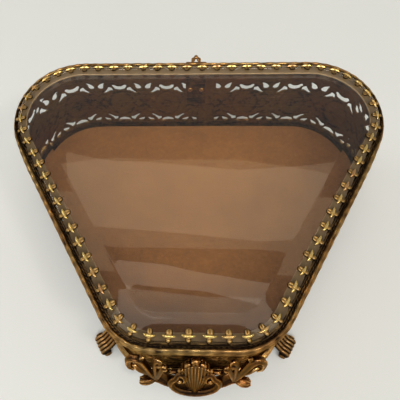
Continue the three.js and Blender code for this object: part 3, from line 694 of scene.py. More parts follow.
pad = piece("velvet_floor_pad", "body", velvet_tan, points, faces, ["floor_pad"], sharp=80)

# ---------------------------------------------------------------- hinge
# A three-knuckle hinge of copper-toned brass on a dark pin with flat heads. The body's leaf carries the two
# outer knuckles on its arms, and is riveted through the wall to a backing plate inside.
LEAF_SHEET = 0.8
LEAF_HALF = 4.4
KNUCKLE_RADIUS = 1.3
LID_KNUCKLE_HALF = 2.2
KNUCKLE_GAP = 0.15
PIN_RADIUS = 0.6
PIN_HEAD = 1.0
RIVET_X = 2.5
RIVET_SHANK = 0.6
RIVET_HEAD = 1.1
RIVET_RISE = 0.5
pin_low, pin_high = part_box("hinge_pin")
PIN_Y = (pin_low.y + pin_high.y) / 2 / MM
PIN_Z = (pin_low.z + pin_high.z) / 2 / MM
leaf_low, leaf_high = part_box("body_hinge_leaf")
plate_low, plate_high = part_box("hinge_backing_plate")
tail_low, tail_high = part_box("lid_hinge_leaf")
WALL_Y = leaf_low.y / MM
LEAF_BOTTOM = leaf_low.z / MM
RIVET_Z = LEAF_BOTTOM + 2.4

copper_gilt = gilded("copper_gilt", rgba(0.020, 0.010, 0.007), rgba(0.13, 0.062, 0.024),
                     rgba(0.52, 0.29, 0.11), wear=0.6)


def turned(profile, axis, middle, sides=40):
    """A piece turned on a lathe: (radius, along) points spun about an axis through middle."""
    turn = (np.arange(sides) * full_turn / sides)[:, None]
    radius, run = np.array(profile, float).T
    spun = [run + 0 * turn, radius * np.cos(turn), radius * np.sin(turn)]
    points = np.stack(np.roll(spun, "xyz".index(axis), 0), -1).reshape(-1, 3) + np.array(middle, float)
    rows = len(profile)
    start_cap = np.arange(sides) * rows
    return points, [*net_quads(sides, rows, round_rows=True), start_cap, (start_cap + rows - 1)[::-1]]


def plate(shape, width, height, step, sheet, round_off, place):
    """A sheet cut to shape(a, b), from 0 to height up and width across, with its edges rounded over."""
    a_net, b_net = np.meshgrid(np.arange(-width / 2, width / 2 + step, step),
                               np.arange(-step, height + 2 * step, step), indexing="ij")
    a, b, quads = cut_net(a_net, b_net, lambda a, b: -shape(a, b), False)
    drop = round_off * np.exp(-np.clip(-shape(a, b), 0, 9) / (0.5 * round_off))
    points, faces, used = thickened(place(a, b, sheet - drop), place(a, b, 0 * a), quads)
    rubbed_edge = 0.62 + 0.5 * np.exp(-np.clip(-shape(a, b), 0, 9) / 0.3)
    relief = np.concatenate([rubbed_edge, 0 * a + 0.3])[used]
    return points[used], faces, np.clip(relief, 0, 1)


def merged(*parts):
    """Several closed meshes as one list of points and one of faces, with a relief value for each point."""
    points, faces, relief, count = [], [], [], 0
    for part_points, part_faces, part_relief in parts:
        points.append(part_points)
        faces += [np.asarray(face) + count for face in part_faces]
        relief.append(np.zeros(len(part_points)) + part_relief)
        count += len(part_points)
    return np.concatenate(points), faces, {"relief": np.concatenate(relief)}


def rounded_box(a, b, half, high, corner):
    """Distance outside an oblong of half to either side and from 0 to high up, with round corners."""
    beside = np.maximum(np.abs(a) - half + corner, 0)
    beyond = np.maximum(np.abs(b - high / 2) - high / 2 + corner, 0)
    return np.hypot(beside, beyond) - corner


def knuckle(start, end):
    """A barrel round the pin, from start to end across."""
    edge = 0.15
    bore = PIN_RADIUS + 0.05
    profile = [(bore, start), (KNUCKLE_RADIUS - edge, start), (KNUCKLE_RADIUS, start + edge),
               (KNUCKLE_RADIUS, end - edge), (KNUCKLE_RADIUS - edge, end), (bore, end)]
    return turned(profile, "x", (0, PIN_Y, PIN_Z))


def extruded(outline, start, end):
    """A (y, z) outline drawn out along x."""
    outline = np.asarray(outline, float)
    count = len(outline)
    points = np.concatenate([np.concatenate([np.full((count, 1), x), outline], 1) for x in (start, end)])
    step = np.arange(count)
    return points, [*net_quads(2, count, round_columns=True), step[::-1], step + count]


leaf_height = leaf_high.z / MM - KNUCKLE_RADIUS - 2 - LEAF_BOTTOM
body_leaf = plate(lambda a, b: rounded_box(a, b, LEAF_HALF, leaf_height, 1.2), 10, 12, 0.2, LEAF_SHEET, 0.2,
                  lambda a, b, up: np.stack([a, WALL_Y + up, LEAF_BOTTOM + b], -1))
arm = [(WALL_Y, WALL_TOP - 1), (WALL_Y, WALL_TOP - 3), (WALL_Y + 0.9, WALL_TOP - 2.6),
       (PIN_Y + 0.2, PIN_Z - 1.25), (PIN_Y + 1.1, PIN_Z - 0.5), (PIN_Y, PIN_Z), (PIN_Y - 1.1, PIN_Z - 0.6),
       (PIN_Y - 1.6, WALL_TOP - 0.3)]
outer_start = LID_KNUCKLE_HALF + KNUCKLE_GAP
arms = [(*extruded(arm, side * outer_start, side * LEAF_HALF), 0.5) for side in (1, -1)]
knuckles = [(*knuckle(*sorted((side * outer_start, side * LEAF_HALF))), 0.8) for side in (1, -1)]
points, faces, marks = merged(body_leaf, *arms, *knuckles)
piece("body_leaf", "body", copper_gilt, points, faces, ["body_hinge_leaf"], marks=marks)

plate_half = (plate_high.x - plate_low.x) / MM / 2
plate_height = (plate_high.z - plate_low.z) / MM
points, faces, relief = plate(
    lambda a, b: rounded_box(a, b, plate_half, plate_height, 0.5), 10, plate_height, 0.25, LEAF_SHEET, 0.15,
    lambda a, b, up: np.stack([a, plate_high.y / MM - up, plate_low.z / MM + b], -1))
piece("backing_plate", "body", dark_gilt, points, faces, ["hinge_backing_plate"],
      marks={"relief": relief - 0.35, "along": points * MM})

dome = [(math.sin(turn), math.cos(turn)) for turn in np.linspace(0.05, quarter, 7)]
inner_y = plate_low.y / MM
outer_y = WALL_Y + LEAF_SHEET
profile = [(RIVET_HEAD * r, inner_y - RIVET_RISE * h) for r, h in dome]
profile += [(RIVET_SHANK, inner_y), (RIVET_SHANK, outer_y)]
profile += [(RIVET_HEAD * r, outer_y + RIVET_RISE * h) for r, h in dome[::-1]]
for side, hand in ((1, "right"), (-1, "left")):
    points, faces = turned(profile, "y", (side * RIVET_X, 0, RIVET_Z), 24)
    piece("leaf_rivet_" + hand, "body", antique_gilt, points, faces,
          ["body_hinge_rivet_" + hand], marks={"relief": np.full(len(points), 0.75), "along": points * MM})

pin_end = pin_high.x / MM
profile = [(0.2, -pin_end), (0.7, -pin_end + 0.05), (PIN_HEAD, -pin_end + 0.35), (PIN_RADIUS, -pin_end + 0.4)]
profile += [(r, -x) for r, x in profile[::-1]]
points, faces = turned(profile, "x", (0, PIN_Y, PIN_Z), 24)
piece("hinge_pin_rod", "body", dark_gilt, points, faces, ["hinge_pin"],
      marks={"relief": np.full(len(points), 0.5), "along": points * MM})

# ---------------------------------------------------------------- lid leaf
# The lid's half of the hinge, of the same copper-toned brass, with the middle knuckle. Its seat is let into
# the frame, and behind the pin stands a pierced, three-lobed tail that stops the open lid.
TAIL_SHEET = 1.0
TAIL_REACH = tail_high.y / MM - PIN_Y
SEAT_BOTTOM = PIN_Z + KNUCKLE_RADIUS + 0.3
SEAT_HEIGHT = tail_high.z / MM - SEAT_BOTTOM
SEAT_Y = tail_low.y / MM


def tail_shape(a, b):
    """Distance outside the tail laid flat, with b back from the pin."""
    side_lobes = stroke(np.abs(a), b, (1.25, TAIL_REACH - 2.5, 0.85))
    end_lobe = stroke(a, b, (0, TAIL_REACH - 1.0, 0.9))
    legs = stroke(np.abs(a), b, (1.45, 0.3, 0.5), (1.6, TAIL_REACH - 3.6, 0.5), (0.9, TAIL_REACH - 1.9, 0.6))
    opening = stroke(a, b, (0, 2.2, 0.55), (0, 1.0, 0.8))
    return np.maximum(np.minimum.reduce([side_lobes, end_lobe, legs]), -opening)


tail = plate(tail_shape, 6, TAIL_REACH + 1, 0.14, TAIL_SHEET, 0.3,
             lambda a, b, up: np.stack([a, PIN_Y + b, PIN_Z - 0.1 + up], -1))
seat = plate(lambda a, b: rounded_box(a, b, LEAF_HALF, SEAT_HEIGHT, 0.5), 10, 3, 0.2, LEAF_SHEET, 0.15,
             lambda a, b, up: np.stack([a, SEAT_Y + up, SEAT_BOTTOM + b], -1))
neck = [(SEAT_Y, SEAT_BOTTOM + 0.7), (SEAT_Y, SEAT_BOTTOM), (PIN_Y - 0.9, PIN_Z + 0.6),
        (PIN_Y, PIN_Z), (PIN_Y + 0.6, PIN_Z + 0.8), (WALL_Y + 2.2, SEAT_BOTTOM + 0.7)]
points, faces, marks = merged(
    tail, seat, (*extruded(neck, -LID_KNUCKLE_HALF, LID_KNUCKLE_HALF), 0.5),
    (*knuckle(-LID_KNUCKLE_HALF, LID_KNUCKLE_HALF), 0.8))
piece("lid_leaf", "lid", copper_gilt, points, faces, ["lid_hinge_leaf"], marks=marks)

# ---------------------------------------------------------------- feet
# Four brass brackets, darkly antiqued, each with a pad riveted under the base and a fluted tongue that
# swings out and down to a rolled toe, with a knob at each end of the roll.
FOOT_HALF = 4.3
FOOT_TOP = BASE_BOTTOM
FLUTES = 5
FLUTE_DEPTH = 0.55
FOOT_SHEET = 0.65
TOE_OUT = 5.4
TOE_HEIGHT = 2.0
TOE_RADIUS = 2.0
TOE_STEPS = 26
FOOT_SETBACK = 5.0
PAD_ROOT = -11.0
BASE_RIVET_HEAD = 1.9
BASE_RIVET_SHANK = 1.0
RIVETED_STACK = 2.4

foot_gilt = gilded("foot_gilt", rgba(0.012, 0.008, 0.006), rgba(0.115, 0.062, 0.026), rgba(0.46, 0.27, 0.10),
                   rough=(0.6, 0.3), wear=0.35)


def smooth_line(corners, spacing):
    """A Catmull-Rom curve through corners, resampled at an even spacing."""
    corners = np.asarray(corners, float)
    ends = np.concatenate([[2 * corners[0] - corners[1]], corners, [2 * corners[-1] - corners[-2]]])
    line = []
    for n in range(len(corners) - 1):
        p0, p1, p2, p3 = ends[n:n + 4]
        t = np.linspace(0, 1, 24, endpoint=False)[:, None]
        line.append(0.5 * (2 * p1 + (p2 - p0) * t + (2 * p0 - 5 * p1 + 4 * p2 - p3) * t ** 2
                           + (3 * p1 - p0 - 3 * p2 + p3) * t ** 3))
    line = np.concatenate(line + [corners[-1:]])
    run = run_along(line)
    even = np.linspace(0, run[-1], max(3, round(run[-1] / spacing)))
    return np.stack([np.interp(even, run, line[:, k]) for k in range(line.shape[1])], -1)


toe_turn = np.linspace(0.45 * math.pi, -1.75 * math.pi, TOE_STEPS)
toe_radius = TOE_RADIUS * np.linspace(1, 0.28, TOE_STEPS)
roll = np.stack([TOE_OUT + toe_radius * np.cos(toe_turn), TOE_HEIGHT + toe_radius * np.sin(toe_turn)], -1)
face_line = smooth_line([(PAD_ROOT, FOOT_TOP - 0.7), (-2.0, FOOT_TOP - 0.7), (0.3, FOOT_TOP - 0.9),
                         (2.0, 6.3), (3.6, 4.6), *roll[::3]], 0.22)
tangent = np.gradient(face_line, axis=0)
tangent /= np.linalg.norm(tangent, axis=1, keepdims=True)
upward = np.stack([-tangent[:, 1], tangent[:, 0]], -1)
run = run_along(face_line)
tongue = np.clip((face_line[:, 0] + 1.5) / 2.5, 0, 1)
fade = np.minimum(tongue, np.clip((run[-1] - run) / 4, 0.15, 1))
cross = np.linspace(-1, 1, 61)
flute = np.abs(np.cos(cross * FLUTES / 2 * math.pi)) ** 0.7 + 0 * run[:, None]
waist = 1 - 0.1 * np.sin(run / run[-1] * math.pi) * tongue
foot_width = FOOT_HALF * (0.62 + 0.38 * tongue) * waist


def foot_face(shift):
    """The tongue's face, shifted off its middle line by up to shift millimetres, less at its edges."""
    shift = shift * (1 - 0.5 * np.abs(cross) ** 12)
    place = face_line[:, None, :] + upward[:, None, :] * shift[..., None]
    return np.concatenate([(foot_width[:, None] * cross)[..., None], place], -1).reshape(-1, 3)


fluted_face = foot_face((FOOT_SHEET - 0.2 * (1 - fade))[:, None]
                        + (FLUTE_DEPTH * fade)[:, None] * (flute - 0.5))
under_face = foot_face(np.full_like(flute, -FOOT_SHEET))
sheet_points, sheet_faces, _ = thickened(fluted_face, under_face, net_quads(*flute.shape))
sheet_relief = np.concatenate([(0.05 + 0.85 * (flute * fade[:, None])).ravel(), np.full(flute.size, 0.2)])
knob_profile = [(0.01, -0.2), (0.9, 0.0), (1.45, 0.25), (1.5, 0.45), (1.15, 0.75), (0.6, 0.95), (0.01, 1.05)]
knobs = []
for side in (1, -1):
    knob = turned([(r, side * (FOOT_HALF - 0.1 + x)) for r, x in knob_profile], "x",
                  (0, TOE_OUT, TOE_HEIGHT), 24)
    knobs.append((*knob, 0.75))
foot_shape, foot_faces, foot_marks = merged((sheet_points, sheet_faces, sheet_relief), *knobs)
foot_shape[:, 2] = np.clip(foot_shape[:, 2], 0.0, FOOT_TOP)

back_turn = (quarter + side_turn) / 2
front_foot = (front_x + FRONT_RADIUS * math.cos(side_turn) - FOOT_SETBACK * math.sin(side_turn),
              front_y + FRONT_RADIUS * math.sin(side_turn) + FOOT_SETBACK * math.cos(side_turn))
back_foot = (back_x + BACK_RADIUS * math.cos(back_turn), back_y + BACK_RADIUS * math.sin(back_turn))
for side, hand in ((1, "right"), (-1, "left")):
    for end, place, turn in (("front", front_foot, side_turn), ("back", back_foot, back_turn)):
        out = np.array([side * math.cos(turn), math.sin(turn)])
        across = np.array([-out[1], out[0]])
        flat = np.array([side * place[0], place[1]]) + foot_shape[:, 1:2] * out + foot_shape[:, 0:1] * across
        points = np.concatenate([flat, foot_shape[:, 2:]], 1)
        piece(f"scrolled_foot_{end}_{hand}", "body", foot_gilt, points, foot_faces,
              [f"foot_{end}_{hand}"], sharp=60, marks=foot_marks)
        rivet_low, rivet_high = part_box(f"foot_rivet_{end}_{hand}")
        centre = (rivet_low + rivet_high) / 2 / MM
        head = 0.5 * ((rivet_high.z - rivet_low.z) / MM - RIVETED_STACK)
        low = rivet_low.z / MM + head
        high = rivet_high.z / MM - head
        profile = [(BASE_RIVET_HEAD * r, low - head * h) for r, h in dome]
        profile += [(BASE_RIVET_SHANK, low), (BASE_RIVET_SHANK, high)]
        profile += [(BASE_RIVET_HEAD * r, high + head * h) for r, h in dome[::-1]]
        points, faces = turned(profile, "z", (centre.x, centre.y, 0), 28)
        piece(f"base_rivet_{end}_{hand}", "body", antique_gilt, points, faces,
              [f"foot_rivet_{end}_{hand}"], marks={"relief": np.full(len(points), 0.7), "along": points * MM})

# ---------------------------------------------------------------- front cartouche
# A cast rococo ornament soldered to the front: a fluted shell that flares towards the ground, with a curled
# crest, cradled in a C-scroll whose ends roll in to volutes. The varnish lies black between its flutes.
SHELL_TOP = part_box("front_cartouche")[1].z / MM - 2.0
SHELL_FOOT = 6.0
SHELL_FLARE = 6.2
SHELL_RIBS = 9
CAST_GRAIN = 0.2
HOLLOW_REACH = 9
HOLLOW_DEPTH = 0.26
SCROLL_HALF = 9.0
SCROLL_LOW = 3.0
SCROLL_HEIGHT = 22.0
SCROLL_TURN = 2.3
CRADLE_TURN = 2.1
front_line = -LID_DEPTH / 2

cast_gilt = gilded("cast_gilt", rgba(0.020, 0.010, 0.005), rgba(0.17, 0.082, 0.028), rgba(0.98, 0.60, 0.22),
                   rough=(0.36, 0.15), wear=0.4)


def swept(corners, radii, sides=18, flutes=0, depth=0.0, spacing=0.35):
    """A round bar of changing radius along a smooth line, with domed ends and, if asked, flutes along it."""
    line = smooth_line(np.column_stack([corners, np.broadcast_to(radii, len(corners))]), spacing)
    line, radius = line[:, :3], np.maximum(line[:, 3], 0.12)
    ahead = np.gradient(line, axis=0)
    ahead /= np.linalg.norm(ahead, axis=1, keepdims=True)
    side = np.cross(ahead[0], (0.1, 0.2, 0.97))
    turn = (np.arange(sides) * full_turn / sides)[:, None]
    sections = []
    for centre, forward, r in zip(line, ahead, radius):
        side = side - forward * side.dot(forward)
        side /= np.linalg.norm(side)
        ring_radius = r * (1 + depth * np.cos(flutes * turn))
        sections.append(centre + ring_radius * (np.cos(turn) * side + np.sin(turn) * np.cross(forward, side)))
    for index, forward in ((0, -ahead[0]), (-1, ahead[-1])):
        centre, rim, r = line[index], sections[index], radius[index]
        dome_end = [centre + (rim - centre) * math.cos(lift) + forward * r * math.sin(lift)
                    for lift in (0.5, 1.0, 1.4)]
        sections = dome_end[::-1] + sections if index == 0 else sections + dome_end
    end = np.arange(sides)
    faces = net_quads(len(sections), sides, round_columns=True)
    return np.concatenate(sections), [*faces, end[::-1], end + (len(sections) - 1) * sides], 0.0


def ball(middle, radii, rings=14, sides=22, lobes=0):
    """A ball stretched to three radii, lobed like a bud if asked."""
    lift, turn = np.meshgrid(np.linspace(-quarter, quarter, rings + 1)[1:-1],
                             np.arange(sides) * full_turn / sides, indexing="ij")
    reach = np.cos(lift) * (1 + (0.1 * np.cos(lobes * turn) if lobes else 0))
    shape = np.stack([reach * np.cos(turn), reach * np.sin(turn), np.sin(lift)], -1)
    points = np.concatenate([shape.reshape(-1, 3), [(0, 0, -1), (0, 0, 1)]]) * radii + np.array(middle)
    faces = list(net_quads(rings - 1, sides, round_columns=True))
    bottom = (rings - 1) * sides
    last_ring = bottom - sides
    for n in range(sides):
        after = (n + 1) % sides
        faces += [(n, bottom, after), (last_ring + n, last_ring + after, bottom + 1)]
    return points, faces, 0.0


def cast(name, parts, stands_for):
    """Parts fused into one casting by a fine voxel skin, smoothed, and marked where it is hollow."""
    points, faces, _ = merged(*parts)
    mesh = mesh_of(name + "_parts", points, faces)
    rough = bpy.data.objects.new(name + "_parts", mesh)
    bpy.context.scene.collection.objects.link(rough)
    skin = rough.modifiers.new("skin", "REMESH")
    skin.mode = "VOXEL"
    skin.voxel_size = CAST_GRAIN * MM
    file_off = rough.modifiers.new("file_off", "SMOOTH")
    file_off.factor = 0.5
    file_off.iterations = 2
    fused = bpy.data.meshes.new_from_object(rough.evaluated_get(bpy.context.evaluated_depsgraph_get()))
    bpy.data.objects.remove(rough)
    bpy.data.meshes.remove(mesh)
    count = len(fused.vertices)
    place = np.empty(count * 3)
    facing = np.empty(count * 3)
    fused.vertices.foreach_get("co", place)
    fused.vertex_normals.foreach_get("vector", facing)
    place = place.reshape(-1, 3) / MM
    edges = np.empty(len(fused.edges) * 2, int)
    fused.edges.foreach_get("vertices", edges)
    one, two = edges.reshape(-1, 2).T
    near = np.bincount(one, minlength=count) + np.bincount(two, minlength=count)
    mean = place.copy()
    for _ in range(HOLLOW_REACH):
        mean = np.stack([np.bincount(one, mean[two, n], count) + np.bincount(two, mean[one, n], count)
                         for n in range(3)], -1) / np.maximum(near, 1)[:, None]
    swell = np.sum((place - mean) * facing.reshape(-1, 3), 1)
    relief = np.clip(0.30 + swell / HOLLOW_DEPTH, 0, 1)
    corners = [tuple(polygon.vertices) for polygon in fused.polygons]
    bpy.data.meshes.remove(fused)
    piece(name, "body", cast_gilt, place, corners, stands_for, sharp=180,
          marks={"relief": relief, "along": place * MM})


def shell_out(z):
    """How far the shell stands out at a height: it flares towards the ground."""
    fall = np.clip((SHELL_TOP - z) / SHELL_TOP, 0, 1)
    return -0.5 + SHELL_FLARE * fall ** 1.4


def shell():
    """A fan of ribs spreading upwards from the foot of the shell to a scalloped, rolled-over edge."""
    fan, rise = np.meshgrid(np.linspace(-1, 1, 161), np.linspace(0, 1, 120), indexing="ij")
    lobe = np.abs(np.cos(fan * SHELL_RIBS / 2 * math.pi))
    top = SHELL_TOP - 1.5 - 9.5 * np.abs(fan) ** 1.5 - 2.0 * (1 - lobe ** 0.6)
    z = SHELL_FOOT + (top - SHELL_FOOT) * rise
    x = fan * (2.6 + 2.6 * np.sin(np.clip(rise * 1.3, 0, 1) * quarter))
    rib = (lobe ** 0.7 - 0.4) * 0.85 * np.clip(rise * 2.2, 0.3, 1)
    lip = 0.8 * np.clip((rise - 0.85) / 0.15, 0, 1) ** 1.5
    outer = shell_out(z) + 0.7 + rib + lip + 0.7 * (1 - fan ** 2)
    front = np.stack([x, front_line - outer, z], -1).reshape(-1, 3)
    back = np.stack([x, front_line - shell_out(z) + 0.7 + 0 * x, z], -1).reshape(-1, 3)
    points, faces, used = thickened(front, back, net_quads(*fan.shape))
    return points[used], faces, 0.0


def front_points(places, side=1):
    """Points from (x, out, height) places, with out measured from the lid's front line."""
    return [(side * x, front_line - out, z) for x, out, z in places]


def scroll_place(turn, low_out, rise_out):
    """A place on the C-scroll's round, a turn up from its lowest point."""
    return (SCROLL_HALF * math.sin(turn), low_out + rise_out * (1 + math.cos(turn)) / 2,
            SCROLL_LOW + SCROLL_HEIGHT * (1 - math.cos(turn)) / 2)


def c_scroll(side):
    """Half of the C-scroll, from its lowest point up to the volute that rolls in beside the shell."""
    rising = [scroll_place(turn, 2.6, 3.7) for turn in np.linspace(0, SCROLL_TURN, 9)]
    x, _, z = rising[-1]
    curl = [(x - 1.1, 2.3, z + 2.6), (x - 2.4, 2.7, z + 2.4), (x - 3.0, 3.6, z - 0.6),
            (x - 2.1, 4.3, z - 2.4), (x - 1.0, 4.2, z - 0.8)]
    line = front_points(rising + curl, side)
    radii = [*np.linspace(1.5, 1.1, len(rising)), *np.linspace(1.05, 0.65, len(curl))]
    return [swept(line, radii, 22, 4, 0.16), ball(line[-1], (0.95, 0.95, 1.1))]


def web(rim, centre, thick=0.8, layers=24):
    """A thin plate that fills the space between a curved rim and a point behind it."""
    share = np.linspace(0, 1, layers)[None, :, None]
    front = np.asarray(rim, float)[:, None, :] * (1 - share) + np.asarray(centre, float) * share
    back = front + np.array([0, thick, 0])
    quads = net_quads(len(rim), layers)
    points, faces, used = thickened(front.reshape(-1, 3), back.reshape(-1, 3), quads)
    return points[used], faces, 0.0


def at_crest(*places):
    """Places whose heights are counted from the shell's top."""
    return [(x, out, SHELL_TOP + z) for x, out, z in places]


cradle = front_points(scroll_place(turn, 2.2, 3.5) for turn in np.linspace(-CRADLE_TURN, CRADLE_TURN, 41))
web_middle = front_points([(0, 0.6, 26)])[0]
stalk = at_crest((0, 0.2, -7), (0, 0.6, -3), (0, 0.5, 0))
finial = front_points(at_crest((0, 0.7, 0.4)))[0]
crest = [web(cradle, web_middle), swept(front_points(stalk), [0.8, 1.3, 1.1], 20, 5, 0.12),
         ball(finial, (1.5, 1.0, 1.4), lobes=5)]
upper_curl = at_crest((1.0, 0.7, -7), (2.0, 0.9, -4), (3.1, 1.2, -5), (3.2, 1.5, -7.5))
lower_curl = at_crest((3.6, 1.6, -14), (4.6, 1.5, -11), (5.6, 1.8, -12), (5.5, 2.1, -14.5))
for side in (1, -1):
    crest += [swept(front_points(upper_curl, side), [0.8, 0.8, 0.65, 0.45]),
              swept(front_points(lower_curl, side), [0.7, 0.75, 0.6, 0.4])]
cross_bar = front_points((x, 1.1, 22.0) for x in (-8.4, -4, 0, 4, 8.4))
back_bar = front_points([(0, 1.2, 24.0), (0, 3.4, 12.0), (0, 5.2, 5.0)])
behind = [swept(cross_bar, 0.9), swept(back_bar, 1.3)]
cast("shell_cartouche", [shell(), *c_scroll(1), *c_scroll(-1), *crest, *behind], ["front_cartouche"])

# ---------------------------------------------------------------- corner mounts
# Cast leaf scrolls soldered beside the shell, one the mirror of the other: from one joint spring a fat bud,
# two hooked tendrils with rolled heads, and a broad leaf that turns over at the top of the round corner.
corner_turn = quarter + side_turn
SPRING = (0.08, 2.2, 15.0)

for side, hand in ((1, "right"), (-1, "left")):
    def on_corner(turn, out, z, side=side):
        """A point at a share of the corner's turn from the front, and out from the moulding's face."""
        angle = turn * corner_turn
        radius = FRONT_RADIUS + MOULDING_OUT + 0.2 + out
        return (side * (front_x + radius * math.sin(angle)), front_y - radius * math.cos(angle), z)

    def leaf_bar(radii, *corners, flutes=3):
        """A fluted bar through corners that are given as on_corner's turn, out and height."""
        return swept([on_corner(*corner) for corner in corners], radii, 18, flutes, 0.16)

    stem = leaf_bar([0.9, 1.15, 1.2, 1.0], (-0.17, 4.2, 9), (-0.06, 3.2, 11.5), SPRING, (0.17, 2.7, 14),
                    flutes=4)
    bud = ball(on_corner(0.24, 2.9, 13), (2.5, 1.8, 2.3), lobes=7)
    calyx = [leaf_bar([0.8, 1.0, 0.8, 0.4], (0.12, 2.6, 14.5 + lift), (0.18, 3.2 + swell, 14 + 1.6 * lift),
                      (0.25, 4.0 + swell, 13.4 + 1.7 * lift), (0.3, 4.2 + swell, 13 + lift))
             for lift, swell in ((-1.2, 0.2), (0.3, 0.7), (1.6, 0.1))]
    broad = leaf_bar([0.9, 1.1, 1.35, 1.5, 1.4, 1.15, 0.85, 0.6], SPRING, (0.14, 1.7, 24), (0.2, 0.8, 32),
                     (0.27, 0.1, 39), (0.36, 0.4, 40.5), (0.43, 1.4, 37), (0.43, 2.3, 31), (0.37, 2.4, 29),
                     flutes=4)
    second = leaf_bar([0.6, 1.0, 0.9, 0.5], (0.16, 1.9, 24), (0.25, 2.0, 31), (0.32, 1.7, 35),
                      (0.36, 1.8, 32))
    leaf_tip = leaf_bar([1.0, 0.9, 0.4], (0.27, 0.0, 38), (0.24, -0.5, 41.5), (0.2, -0.5, 43.0))
    corner_tip = leaf_bar([1.1, 0.9, 0.5], (0.42, 1.4, 34), (0.46, 2.0, 28), (0.48, 2.3, 21))
    tall_hook = leaf_bar([0.8, 0.95, 1.0, 1.0, 0.8, 0.5], SPRING, (0.07, 1.4, 26), (0.05, 0.5, 35),
                         (0.02, -0.2, 41), (-0.03, 0.1, 42), (-0.03, 0.9, 38))
    tall_tip = ball(on_corner(-0.01, 0.8, 39), (1.15, 1.05, 1.3))
    low_hook = leaf_bar([0.75, 0.8, 0.85, 0.75, 0.45], SPRING, (0.03, 2.0, 23), (-0.03, 1.3, 31),
                        (-0.08, 0.8, 36.5), (-0.11, 1.3, 34))
    low_tip = ball(on_corner(-0.085, 1.5, 34.5), (1.0, 0.95, 1.1))
    skirt = [on_corner(turn, 2.6 + 1.2 * (0.24 - turn) / 0.4, 13.5 + 4 * (turn - 0.24))
             for turn in np.linspace(-0.34, 0.24, 32)]
    backing = web(skirt, on_corner(0.03, 0.3, 20), 0.9)
    cast("leaf_mount_" + hand, [backing, stem, bud, *calyx, broad, second, leaf_tip, corner_tip,
                                tall_hook, tall_tip, low_hook, low_tip], ["corner_mount_" + hand])

# ---------------------------------------------------------------- lid frame
# A cast brass ring with a half-round outside, rubbed on its ridges, and a dusty ledge inside that the glass
# lies on. Between the two runs a narrow band of small loops with varnish in their hollows; the band and the
# ring's inner faces are painted dark as painted shade in the gap by the glass. The ring is filed a little
# flatter at the two back corners.
FRAME_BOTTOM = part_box("lid_frame")[0].z / MM
FRAME_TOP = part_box("lid_frame")[1].z / MM
FRAME_STEPS = 2 * ROUND_STEPS
FRAME_SCALLOPS = 96
NOSE_STEPS = 26
LOOP_STEPS = 9
LOOP_INSET = 2.2
LOOP_WIDTH = 0.42
LOOP_PITCH = 1.7
LOOP_DEPTH = 0.24
FRAME_INNER = 2.7
LEDGE_INSET = 7.0
CORNER_FILED = 1.7
LEDGE_TOP = FRAME_BOTTOM + 1.5

loop_top = FRAME_TOP - 1.35
band_turn = np.linspace(0.15 * math.pi, math.pi, LOOP_STEPS)
profile = np.concatenate([
    [(LEDGE_INSET, FRAME_BOTTOM + 0.2), (LEDGE_INSET - 0.2, FRAME_BOTTOM), (1.9, FRAME_BOTTOM)],
    nose(0.1, 1.2, FRAME_BOTTOM, FRAME_TOP - FRAME_BOTTOM, NOSE_STEPS)[1:],
    [(1.5, FRAME_TOP - 0.12), (1.72, FRAME_TOP - 0.6), (1.82, FRAME_TOP - 1.6)],
    np.stack([LOOP_INSET - LOOP_WIDTH * np.cos(band_turn),
              loop_top - 0.45 + 0.5 * np.sin(band_turn)], -1),
    [(FRAME_INNER, loop_top - 1.2), (FRAME_INNER, LEDGE_TOP), (LEDGE_INSET - 0.2, LEDGE_TOP),
     (LEDGE_INSET, LEDGE_TOP - 0.2)],
])
profile_length = run_along(profile)
nose_start, nose_end = 3, NOSE_STEPS + 5
loops_start, loops_end = nose_end + 1, nose_end + LOOP_STEPS
nose_from, nose_to = profile_length[nose_start], profile_length[nose_end]
loops_from, loops_to = profile_length[loops_start], profile_length[loops_end]
loop_count = round(round_length(LOOP_INSET) / LOOP_PITCH)
nose_bark = bark(0.11, 51)


def frame_carving(s, q):
    """Bark and faint scallops on the half-round nose, and a row of loops in the narrow band."""
    on_nose = ((q > nose_from) & (q < nose_to)).astype(float)
    in_loops = ((q >= loops_from) & (q <= loops_to)).astype(float)
    turn = s / round_length() * full_turn
    loops = np.abs(np.sin(turn * loop_count / 2 + 0.9 * np.sin(q * 3))) ** 0.6
    scallop = 0.1 * np.sin(turn * FRAME_SCALLOPS + 2 * patches(s, 0 * q, 20, 5, 54))
    carved_nose = nose_bark(s, q) * 0.8 + scallop * 0.6 - 0.02
    return on_nose * carved_nose + in_loops * (0.34 * loops - LOOP_DEPTH)


points, faces, along, raised = moulded(profile, frame_carving, FRAME_STEPS)
q = along[:, 1] / MM
facing = np.arctan2(points[:, 1] - back_y, np.abs(points[:, 0]) - back_x)
round_back = np.clip(1 - np.abs(facing - 0.05) / 1.1, 0, 1) * (np.abs(points[:, 0]) > back_x)
filed = CORNER_FILED * (round_back ** 2 * (3 - 2 * round_back))
inwards = np.stack([np.cos(facing) * np.sign(points[:, 0]), np.sin(facing)], -1)
reach = np.hypot(points[:, 1] - back_y, np.abs(points[:, 0]) - back_x) - (BACK_RADIUS - FRAME_INNER)
points[:, :2] -= inwards * (filed * np.clip(reach / FRAME_INNER, 0, 1))[:, None]
on_nose = (q > nose_from) & (q < nose_to)
in_loops = (q >= loops_from) & (q <= loops_to)
on_ledge = q > profile_length[-4] - 0.1
# The loop band and the ring's inner faces are painted dark, as painted shade in the gap between glass and
# frame.
band_relief_and_painted_shade = np.where(in_loops, 0.02 + raised + LOOP_DEPTH, 0.05)
relief = np.where(on_nose, relief_of(raised, 0.17, 0.62), band_relief_and_painted_shade)
frame_gilt = gilded("frame_gilt", rgba(0.020, 0.012, 0.008), rgba(0.20, 0.125, 0.048),
                    rgba(0.44, 0.275, 0.10), wear=0.25, streaks=1.1, dusted=True)
piece("lid_ring", "lid", frame_gilt, points, faces, ["lid_frame"],
      marks={"relief": np.clip(relief, 0, 1), "along": along, "dust": on_ledge * 1.0})

